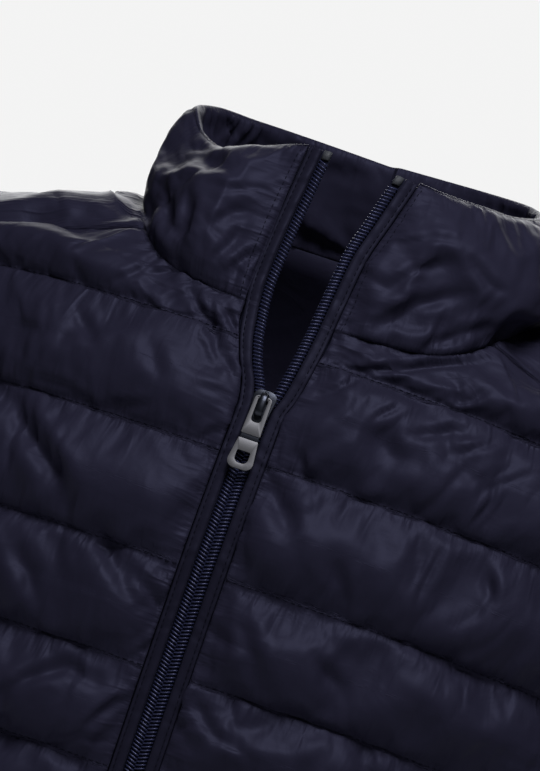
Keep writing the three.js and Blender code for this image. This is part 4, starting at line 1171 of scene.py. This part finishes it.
def finishCollar(obj, material):
    subdivided(obj)
    mesh = obj.data
    across, down = readLayer(mesh, "across"), readLayer(mesh, "down")
    points = readPoints(mesh) / mm
    side, ringAngle, along, _ = collarPlace(across, down)
    outward = mirrorX(collarNormal(ringAngle, along), side)
    outward *= np.where(down < collar["outerPart"] + collar["topPart"] / 2, 1, -1)[:, None]
    relief, seamPlace, edgePlace = collarRelief(across, down, points)
    points = points + outwardNormals(mesh, outward) * relief[:, None]
    writePoints(mesh, points * mm)
    writePlaces(mesh, "seamPlace", *seamPlace)
    writePlaces(mesh, "edgePlace", *edgePlace)
    normals = outwardNormals(mesh, outward)
    columns = 2 * collar["columns"]
    outerRows = down < collar["outerPart"]
    lines = []
    for share in (collar["seamColumn"] / columns, 1 - collar["seamColumn"] / columns):
        found = np.flatnonzero((np.abs(across - share) < 1e-4) & outerRows)
        found = found[np.argsort(down[found])]
        lines.append((points[found], normals[found]))
    sewLines("collar_thread", lines, sewing["edgePitch"], sewing["edgeLong"], finishes["thread_painted_shade"])
    bm = bmesh.new()
    bm.from_mesh(obj.data)
    bmesh.ops.bridge_loops(bm, edges=sideEdges(bm, "down", 0) + sideEdges(bm, "down", 1))
    bmesh.ops.holes_fill(bm, edges=[edge for edge in bm.edges if edge.is_boundary], sides=0)
    bmesh.ops.recalc_face_normals(bm, faces=bm.faces)
    bm.to_mesh(obj.data)
    bm.free()
    smoothShade(obj.data)
    obj.data.materials.clear()
    obj.data.materials.append(material)
    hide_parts("collar")
    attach(obj, "garment")


# The zip: its line from the hem to the collar's upper edge, and what lies beside it
zipSizes = {
    "pitch": 1.66, "tapeStep": 2.0, "normalBeside": 4.5, "collarHeight": 76,
    "blendOver": 8, "endRoom": 5.2,
}


def zipLine(side, step):  # gives a function of a distance beside the zip and a height out of the cloth
    footAngle = collarEdgeAngle(side, np.zeros(1), zipSizes["normalBeside"])
    heights = np.arange(sewnLines["front"][-1], neckSeam(footAngle)[1][0], step)
    alongs = np.linspace(0, 1, int(zipSizes["collarHeight"] / step))
    beside = zipSizes["normalBeside"]
    bodyOut = bodyNormal(angleAt(openingAt(side, heights) + beside, heights, False), heights)
    collarOut = collarNormal(collarEdgeAngle(side, alongs, beside), alongs)
    out = np.concatenate((bodyOut, collarOut))
    for _ in range(int(zipSizes["blendOver"] / step)):
        out[1:-1] = unit(out[:-2] + out[1:-1] + out[2:])

    def place(away, raised):
        body = bodyPoint(angleAt(openingAt(side, heights) + away, heights, False), heights)
        up = collarPoint(collarEdgeAngle(side, alongs, away), alongs)
        line = np.concatenate((body, up)) + out * np.reshape(raised, (-1, 1))
        return mirrorX(line, np.full(len(line), side))

    return place, len(out)


def sweptSheet(name, side, section, step, wave=None):
    place, count = zipLine(side, step)
    rows = np.arange(count)
    lines = [place(away, out + (wave(rows * step, away) if wave else 0)) for away, out in section]
    bm = bmesh.new()
    bmesh.ops.create_grid(bm, x_segments=len(section) - 1, y_segments=count - 1, size=0.5)
    for vert in bm.verts:
        column = round((vert.co.x + 0.5) * (len(section) - 1))
        row = round((vert.co.y + 0.5) * (count - 1))
        vert.co = Vector(lines[column][row]) * mm
    if side < 0:
        bmesh.ops.reverse_faces(bm, faces=bm.faces)
    mesh = bpy.data.meshes.new(name)
    bm.to_mesh(mesh)
    bm.free()
    smoothShade(mesh)
    return mesh


def addSolidify(obj, thickness):
    modifier = obj.modifiers.new("wall", "SOLIDIFY")
    modifier.thickness = thickness * mm
    modifier.offset = -1


tape = {
    "wall": 0.5, "width": 14.5, "length": 755,
    "section": [(0.2, 0.28), (2.2, 0.28), (4.4, 0.22), (5.6, -0.2), (6.8, -0.45), (14, -0.5)],
}
placket = {
    "wall": 0.5, "width": 12, "length": 745, "step": 1.0, "stitchAway": 8.7, "stitchOut": 2.62,
    "puckers": [(3.1, 0.24), (6.5, 0.3)],
    "section": [
        (4.7, 0.6), (4.7, 1.8), (5.0, 2.6), (5.9, 2.95), (7.2, 2.9), (8.2, 2.65), (8.7, 2.45), (9.2, 2.65),
        (10, 2.7), (10.45, 2.1), (10.5, 0.7),
    ],
}


def placketWave(distance, away):  # small puckers across the strip, deepest at its line of stitches
    isFlat = (away < 4.75) or (away > 10.2)
    rise = np.zeros(len(distance))
    for number, (spacing, depth) in enumerate(placket["puckers"]):
        fold = softNoise((distance + 0.35 * away) / spacing, away / 14, 20 + number)
        rise += depth * (np.abs(2 * fold - 1) - 0.5) * 2
    return rise * (0 if isFlat else 1)


coil = {
    "thread": 0.37, "sides": 6, "slant": 0.36, "hookFrom": 1, "hook": 0.3,
    "path": [
        (4.0, 0.5), (3.95, 1.3), (3.55, 1.95), (2.6, 2.2), (1.4, 2.3), (0.6, 2.15), (0.2, 1.5), (0.3, 0.8),
    ],
}
tapeEnd = {"rows": 3, "section": [(0.3, 0.3), (0.35, 1.2), (1.2, 1.75), (2.8, 1.75), (3.9, 1.2), (4.1, 0.3)]}


def coilTurn(side):  # one turn of the coil: from the tape over to its head at the closing line
    path = []
    for away, out in coil["path"]:
        hook = coil["hook"] if away < coil["hookFrom"] else 0
        path.append((-side * (away - hook), coil["slant"] * (away - 2), out))
    return smallTube("coil_turn", path, [(coil["thread"],) * 2] * len(path), coil["sides"])


def endOfTape(word, side, step):  # the tape's upper end, folded over the last teeth
    place, count = zipLine(side, step)
    section = tapeEnd["section"]
    rows = tapeEnd["rows"]
    bm = bmesh.new()
    bmesh.ops.create_grid(bm, x_segments=len(section) - 1, y_segments=rows - 1, size=0.5)
    for vert in bm.verts:
        away, out = section[round((vert.co.x + 0.5) * (len(section) - 1))]
        row = count - rows + round((vert.co.y + 0.5) * (rows - 1))
        vert.co = Vector(place(away, out)[row]) * mm
    if side < 0:
        bmesh.ops.reverse_faces(bm, faces=bm.faces)
    mesh = bpy.data.meshes.new(f"tape_end_{word}")
    bm.to_mesh(mesh)
    bm.free()
    smoothShade(mesh)
    obj = newObject(f"tape_end_{word}", mesh, finishes["tape_end"])
    addSolidify(obj, tape["wall"])
    return obj


def makeZipSide(word, side):
    place, _ = zipLine(side, zipSizes["tapeStep"])
    line = place(0, 0)
    outward = place(0, 1) - line
    tapeMesh = sweptSheet(f"zip_tape_cloth_{word}", side, tape["section"], zipSizes["tapeStep"])
    tapeObj = newObject(f"zip_tape_cloth_{word}", tapeMesh, tapeCloth)
    addSolidify(tapeObj, tape["wall"])
    total = lengthsAlong(line)[-1]
    shift = 0.5 if side > 0 else 0
    turns = np.arange(1 + shift, (total - zipSizes["endRoom"]) / zipSizes["pitch"]) * zipSizes["pitch"]
    coilMesh = spreadCopies(f"coil_{word}", coilTurn(side), framesAlong(line, outward, turns))
    coilObj = newObject(f"coil_{word}", coilMesh, coilThread)
    endObj = endOfTape(word, side, zipSizes["tapeStep"])
    strip = sweptSheet(f"placket_strip_{word}", side, placket["section"], placket["step"], placketWave)
    # the strip takes the darker copy of the nylon: painted shade
    placketObj = newObject(f"placket_strip_{word}", strip, nylonPaintedShade)
    addSolidify(placketObj, placket["wall"])
    finePlace, _ = zipLine(side, placket["step"])
    seam = finePlace(placket["stitchAway"], placket["stitchOut"])
    seamOut = finePlace(placket["stitchAway"], placket["stitchOut"] + 1) - seam
    threadObj = sewLines(f"placket_thread_{word}", [(seam, seamOut)], sewing["edgePitch"], sewing["edgeLong"],
                         finishes["thread_painted_shade"])
    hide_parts(f"zip_tape_{word}")
    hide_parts(f"placket_{word}")
    slots = {tapeObj: "zip_tape", coilObj: "zip_tape", endObj: "zip_tape", placketObj: "quilted_nylon"}
    for obj, slotName in slots.items():
        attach(obj, "garment")


# Slider and pull, in the zip's own directions at the slider: across, along and out of the cloth
slider = {
    "height": -72.5, "low": -7.5, "high": 7.5, "tailHalf": 4.3, "noseHalf": 5.2, "corner": 3.2,
    "plate": (3.1, 4.7), "back": (-1.7, -0.3), "soften": 0.5, "wedgeSoften": 0.1,
    "wedge": [(0, 4.4), (1.2, 7.3), (0, 7.4), (-1.2, 7.3)], "wedgeOut": (-1.7, 4.7),
    "bridge": [
        (-4.7, 4.2), (-4.75, 5.6), (-4.5, 6.9), (-3.6, 7.75), (-2.2, 8.05), (-0.4, 8.1), (1.4, 8.1),
        (3.2, 7.95), (4.7, 7.4), (5.35, 6.4), (5.5, 5.2), (5.5, 4.2),
    ],
    "bridgeHalf": 1.7, "bridgeThick": 0.6, "bridgeSides": 20,
}
pull = {
    "hinge": (3.3, 6.05), "tilt": 2.5, "pinRadius": 0.8, "pinHalf": 2.9, "band": (-0.45, 0.45),
    "plate": (-0.75, 0.75), "soften": 0.16, "joinCorner": 0.5, "bandCorner": 0.4, "bandOver": 1,
    "pinSides": 16, "windowTop": -0.5,
    "low": -33.5, "top": 0.6, "armHalf": 3.9, "waistHalf": 4.35, "lowHalf": 5.85, "corner": 3.4,
    "armCorner": 1.6,
    "windowLow": -11.5, "windowHalf": 2.35, "windowCorner": 1.7, "bandTop": -17.4, "bandLow": -19.8,
    "holeLow": -31, "holeTop": -25.2, "holeHalf": 3.1, "holeCorner": 2.4, "topCorner": 0.7, "trim": 0.3,
}


def roundedOutline(low, high, lowHalf, highHalf, lowCorner, highCorner, steps=6):
    corners = [
        (lowHalf, low, lowCorner, -90), (highHalf, high, highCorner, 0),
        (-highHalf, high, highCorner, 90), (-lowHalf, low, lowCorner, 180),
    ]
    outline = []
    for x, y, radius, start in corners:
        centreX = x - math.copysign(radius, x)
        centreY = y + (radius if y == low else -radius)
        for step in range(steps + 1):
            turn = math.radians(start + 90 * step / steps)
            outline.append((centreX + radius * math.cos(turn), centreY + radius * math.sin(turn)))
    return outline


def addPlate(bm, outlines, low, high, soften, slotIndex=0):  # the first outline is the rim, others are holes
    older = set(bm.faces)
    edges = []
    for outline in outlines:
        verts = [bm.verts.new((x, y, low)) for x, y in outline]
        edges += [bm.edges.new(pair) for pair in zip(verts, verts[1:] + verts[:1])]
    filled = bmesh.ops.triangle_fill(bm, edges=edges, use_beauty=True)["geom"]
    faces = [item for item in filled if isinstance(item, bmesh.types.BMFace)]
    bmesh.ops.solidify(bm, geom=faces, thickness=high - low)
    newFaces = [face for face in bm.faces if face not in older]
    verts = list({vert for face in newFaces for vert in face.verts})
    middle = (min(vert.co.z for vert in verts) + max(vert.co.z for vert in verts)) / 2
    bmesh.ops.translate(bm, vec=(0, 0, (low + high) / 2 - middle), verts=verts)
    bmesh.ops.recalc_face_normals(bm, faces=newFaces)
    sharp = {edge for face in newFaces for edge in face.edges}
    sharp = [edge for edge in sharp if len(edge.link_faces) == 2 and edge.calc_face_angle() > 1]
    bmesh.ops.bevel(bm, geom=sharp, offset=soften, segments=3, profile=0.5, affect="EDGES", material=-1,
                    clamp_overlap=True)
    for face in bm.faces:
        if face not in older:
            face.material_index = slotIndex


def zipFrame():
    origin = Vector(bodyPoint(np.zeros(1), np.full(1, slider["height"]))[0])
    out = Vector(bodyNormal(np.zeros(1), np.full(1, slider["height"]))[0])
    along = out.cross(Vector((1, 0, 0))).normalized()
    return Matrix.Translation(origin) @ Matrix((Vector((1, 0, 0)), along, out)).transposed().to_4x4()


def metalPiece(name, bm, place, materials, body, node):
    bmesh.ops.transform(bm, matrix=Matrix.Scale(mm, 4) @ place, verts=bm.verts)
    mesh = bpy.data.meshes.new(name)
    bm.to_mesh(mesh)
    bm.free()
    smoothShade(mesh)
    obj = newObject(name, mesh)
    for material in materials:
        mesh.materials.append(material)
    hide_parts(node)
    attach(obj, body)
    return obj


def makeSlider():
    bm = bmesh.new()
    sizes = (slider["low"], slider["high"], slider["tailHalf"], slider["noseHalf"])
    outline = roundedOutline(*sizes, slider["corner"], slider["corner"])
    addPlate(bm, [outline], *slider["plate"], slider["soften"])
    addPlate(bm, [outline], *slider["back"], slider["soften"])
    addPlate(bm, [slider["wedge"]], *slider["wedgeOut"], slider["wedgeSoften"])
    path = [Vector((0, along, out)) for along, out in slider["bridge"]]
    size = (slider["bridgeHalf"], slider["bridgeThick"])
    addTube(bm, path, [size] * len(path), slider["bridgeSides"])
    gunmetal = [finishes["slider_gunmetal"]]
    return metalPiece("zip_slider", bm, zipFrame(), gunmetal, "garment", "slider")


def makePull():
    bm = bmesh.new()
    join, bandCorner, over = pull["joinCorner"], pull["bandCorner"], pull["bandOver"]

    def halfAt(along):  # the arms run straight, then the plate widens towards its round end
        stops = (pull["low"], pull["bandTop"], pull["windowLow"], pull["top"])
        return np.interp(along, stops, (pull["lowHalf"], pull["waistHalf"], pull["armHalf"], pull["armHalf"]))

    def part(low, high, lowCorner, highCorner, inset):
        lowHalf, highHalf = float(halfAt(low)) - inset, float(halfAt(high)) - inset
        return roundedOutline(low, high, lowHalf, highHalf, lowCorner, highCorner)

    window = roundedOutline(pull["windowLow"], pull["windowTop"], pull["windowHalf"], pull["windowHalf"],
                            pull["windowCorner"], join)
    hole = roundedOutline(pull["holeLow"], pull["holeTop"], pull["holeHalf"], pull["holeHalf"],
                          pull["holeCorner"], pull["topCorner"])
    upper = part(pull["bandTop"], pull["top"], join, pull["armCorner"], 0)
    band = part(pull["bandLow"] - over, pull["bandTop"] + over, bandCorner, bandCorner, pull["trim"])
    lower = part(pull["low"], pull["bandLow"], pull["corner"], join, 0)
    addPlate(bm, [upper, window], *pull["plate"], pull["soften"])
    # the band, a groove across the pull, is coloured darker than the rest of the pull with the slider's
    # gunmetal
    addPlate(bm, [band], *pull["band"], pull["soften"], 1)
    addPlate(bm, [lower, hole], *pull["plate"], pull["soften"])
    addTube(bm, [Vector((-pull["pinHalf"], 0, 0)), Vector((pull["pinHalf"], 0, 0))],
            [(pull["pinRadius"],) * 2] * 2, pull["pinSides"])
    along, out = pull["hinge"]
    tilt = Matrix.Rotation(math.radians(pull["tilt"]), 4, "X")
    place = zipFrame() @ Matrix.Translation((0, along, out)) @ tilt
    materials = [finishes["pull_satin_metal"], finishes["slider_gunmetal"]]
    return metalPiece("zip_pull", bm, place, materials, "pull_tab", "pull")


# Armhole bindings: a folded strip sewn round each armhole
binding = {
    "wall": 0.5, "step": 1.4, "width": 12.5, "length": 520, "stitchAway": 1.5, "stitchOut": 4.22,
    "puckers": [(2.9, 0.22), (6, 0.32)],
    "section": [
        (0.4, 0.4), (3.2, 0.3), (4.6, 0.7), (5.2, 1.6), (5.35, 2.4), (5.0, 3.4), (4.2, 4.1), (3, 4.3),
        (1.6, 4.1), (0.5, 3.9),
    ],
    "frontChannels": 5, "backChannels": 6,
}


def armholeLoop(side):
    frontSteps = np.linspace(0, binding["frontChannels"], 300)
    backSteps = np.linspace(0, binding["backChannels"], 320)
    front = frontPlace(side, np.ones(len(frontSteps)), frontSteps)[:2]
    back = backPlace(np.ones(len(backSteps)), backSteps)[:2]
    angle = np.concatenate((front[0], back[0][-2:0:-1]))
    height = np.concatenate((front[1], back[1][-2:0:-1]))
    points = bodyPoint(angle, height)
    lengths = lengthsAlong(np.concatenate((points, points[:1])))
    spots = np.arange(0, lengths[-1] - binding["step"] / 2, binding["step"])
    angle = np.interp(spots, lengths, np.append(angle, angle[0]))
    height = np.interp(spots, lengths, np.append(height, height[0]))
    points = bodyPoint(angle, height)
    ahead = np.roll(points, -3, axis=0) - np.roll(points, 3, axis=0)
    normal = bodyNormal(angle, height)
    inward = unit(np.cross(ahead, normal))
    inward *= np.sign(np.sum(inward * (points.mean(axis=0) - points), axis=1, keepdims=True))
    return points, inward, normal, spots


def makeBinding(word, side):
    points, inward, normal, spots = armholeLoop(side)
    section = binding["section"]
    name = f"armhole_strip_{word}"
    bm = bmesh.new()
    bmesh.ops.create_grid(bm, x_segments=len(section) - 1, y_segments=len(points), size=0.5)
    wave = np.zeros(len(points))
    for number, (spacing, depth) in enumerate(binding["puckers"]):
        wave += depth * (np.abs(2 * softNoise(spots / spacing, 3.0 + side, 24 + number) - 1) - 0.5) * 2
    for vert in bm.verts:
        column = round((vert.co.x + 0.5) * (len(section) - 1))
        row = round((vert.co.y + 0.5) * len(points)) % len(points)
        away, out = section[column]
        bulge = wave[row] * math.sin(math.pi * column / (len(section) - 1))
        spot = points[row] + inward[row] * (away + bulge) + normal[row] * (out + 0.5 * bulge)
        vert.co = Vector(mirrorX(spot, side)) * mm
    bmesh.ops.remove_doubles(bm, verts=bm.verts, dist=0.01 * mm)
    bmesh.ops.recalc_face_normals(bm, faces=bm.faces)
    mesh = bpy.data.meshes.new(name)
    bm.to_mesh(mesh)
    bm.free()
    smoothShade(mesh)
    # the binding takes the darker copy of the nylon: painted shade
    obj = newObject(name, mesh, nylonPaintedShade)
    addSolidify(obj, binding["wall"])
    seam = mirrorX(points + inward * binding["stitchAway"] + normal * binding["stitchOut"], side)
    seamOut = mirrorX(normal, side)
    threadObj = sewLines(f"armhole_thread_{word}", [(seam, seamOut)], sewing["edgePitch"], sewing["edgeLong"],
                         finishes["thread_painted_shade"])
    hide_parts(f"armhole_binding_{word}")
    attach(obj, "garment")
    print(f"armhole {word}: {spots[-1]:.0f} mm round")


print("panels")
madePanels = {}
for word, side in sides.items():
    madePanels[f"front_{word}"] = makePanel(f"quilted_front_{word}", "front", side, nylon)
madePanels["back"] = makePanel("quilted_back", "back", 1, nylon)
collarPiece = makeCollar(nylon)

for obj, kind in madePanels.values():
    addCloth(obj, cloth["pressure"], cloth["spare"])
addCloth(collarPiece, collar["pressure"], collar["spare"])
swell([obj for obj, kind in madePanels.values()] + [collarPiece])
print("padding swollen")

for number, (node, (obj, kind)) in enumerate(madePanels.items()):
    finishPanel(obj, kind, node, 13.7 * number)
finishCollar(collarPiece, nylon)
print("panels closed")
for word, side in sides.items():
    makeZipSide(word, side)
    makeBinding(word, side)
makeSlider()
makePull()
print("zip and armholes made")

# Camera, as the photograph was taken: a long lens from the wearer's left, with the garment leaning right
camera = {
    "target": (0, -100, -61.3), "turn": 8, "rise": 3, "lean": 18.4, "distance": 8000, "tall": 335.2,
    "sensor": 36,
}


def placeCamera():
    turn, rise = math.radians(camera["turn"]), math.radians(camera["rise"])
    target = Vector(camera["target"]) * mm
    toward = Vector((math.sin(turn) * math.cos(rise), -math.cos(turn) * math.cos(rise), math.sin(rise)))
    forward = -toward
    right = forward.cross(Vector((0, 0, 1))).normalized()
    up = right.cross(forward)
    lean = math.radians(camera["lean"])
    leanUp = math.cos(lean) * up - math.sin(lean) * right
    leanRight = math.cos(lean) * right + math.sin(lean) * up
    data = bpy.data.cameras.new("camera")
    data.sensor_fit = "VERTICAL"
    data.sensor_height = camera["sensor"]
    data.lens = camera["sensor"] * camera["distance"] / camera["tall"]
    data.clip_end = 20
    obj = bpy.data.objects.new("camera", data)
    scene.collection.objects.link(obj)
    basis = Matrix((leanRight, leanUp, toward)).transposed().to_4x4()
    obj.matrix_world = Matrix.Translation(target + toward * camera["distance"] * mm) @ basis
    scene.camera = obj


placeCamera()

# Light: a soft source over the garment's top, a weak one in front, one behind, and a pale, weak room
lamps = {
    "top_light": {"power": 23, "size": 0.9, "place": (0.15, -0.9, 1.5), "aim": (0, -0.1, -0.1)},
    "fill_light": {"power": 0.7, "size": 1.6, "place": (0.6, -2.2, 0.2), "aim": (0, -0.1, -0.1)},
    "back_light": {"power": 50, "size": 1.8, "place": (-0.4, 2.3, 0.5), "aim": (0, 0.1, -0.3)},
}
room = {"shade": 0.9, "light": 0.02}
floorSizes = {"half": 3, "below": 0.002}


def areaLight(name, power, size, position, aim):
    data = bpy.data.lights.new(name, "AREA")
    data.energy = power
    data.size = size
    obj = bpy.data.objects.new(name, data)
    scene.collection.objects.link(obj)
    direction = Vector(aim) - Vector(position)
    obj.rotation_euler = direction.to_track_quat("-Z", "Y").to_euler()
    obj.location = position


for name, lamp in lamps.items():
    areaLight(name, lamp["power"], lamp["size"], lamp["place"], lamp["aim"])
world = bpy.data.worlds.new("room")
world.use_nodes = True
scene.world = world
nodes, links = world.node_tree.nodes, world.node_tree.links
background = nodes["Background"]
background.inputs["Color"].default_value = (room["shade"],) * 3 + (1,)
path = nodes.new("ShaderNodeLightPath")
strength = nodes.new("ShaderNodeMapRange")
strength.inputs["To Min"].default_value = room["light"]
strength.inputs["To Max"].default_value = 1.0
links.new(path.outputs["Is Camera Ray"], strength.inputs["Value"])
links.new(strength.outputs["Result"], background.inputs["Strength"])
scene.view_settings.view_transform = "Standard"

floorMesh = bpy.data.meshes.new("floor")
bm = bmesh.new()
bmesh.ops.create_grid(bm, x_segments=1, y_segments=1, size=floorSizes["half"])
bmesh.ops.translate(bm, vec=(0, 0, cadBox[0][2] - floorSizes["below"]), verts=bm.verts)
bm.to_mesh(floorMesh)
bm.free()
floor = newObject("floor", floorMesh, finishes["pale_floor"])
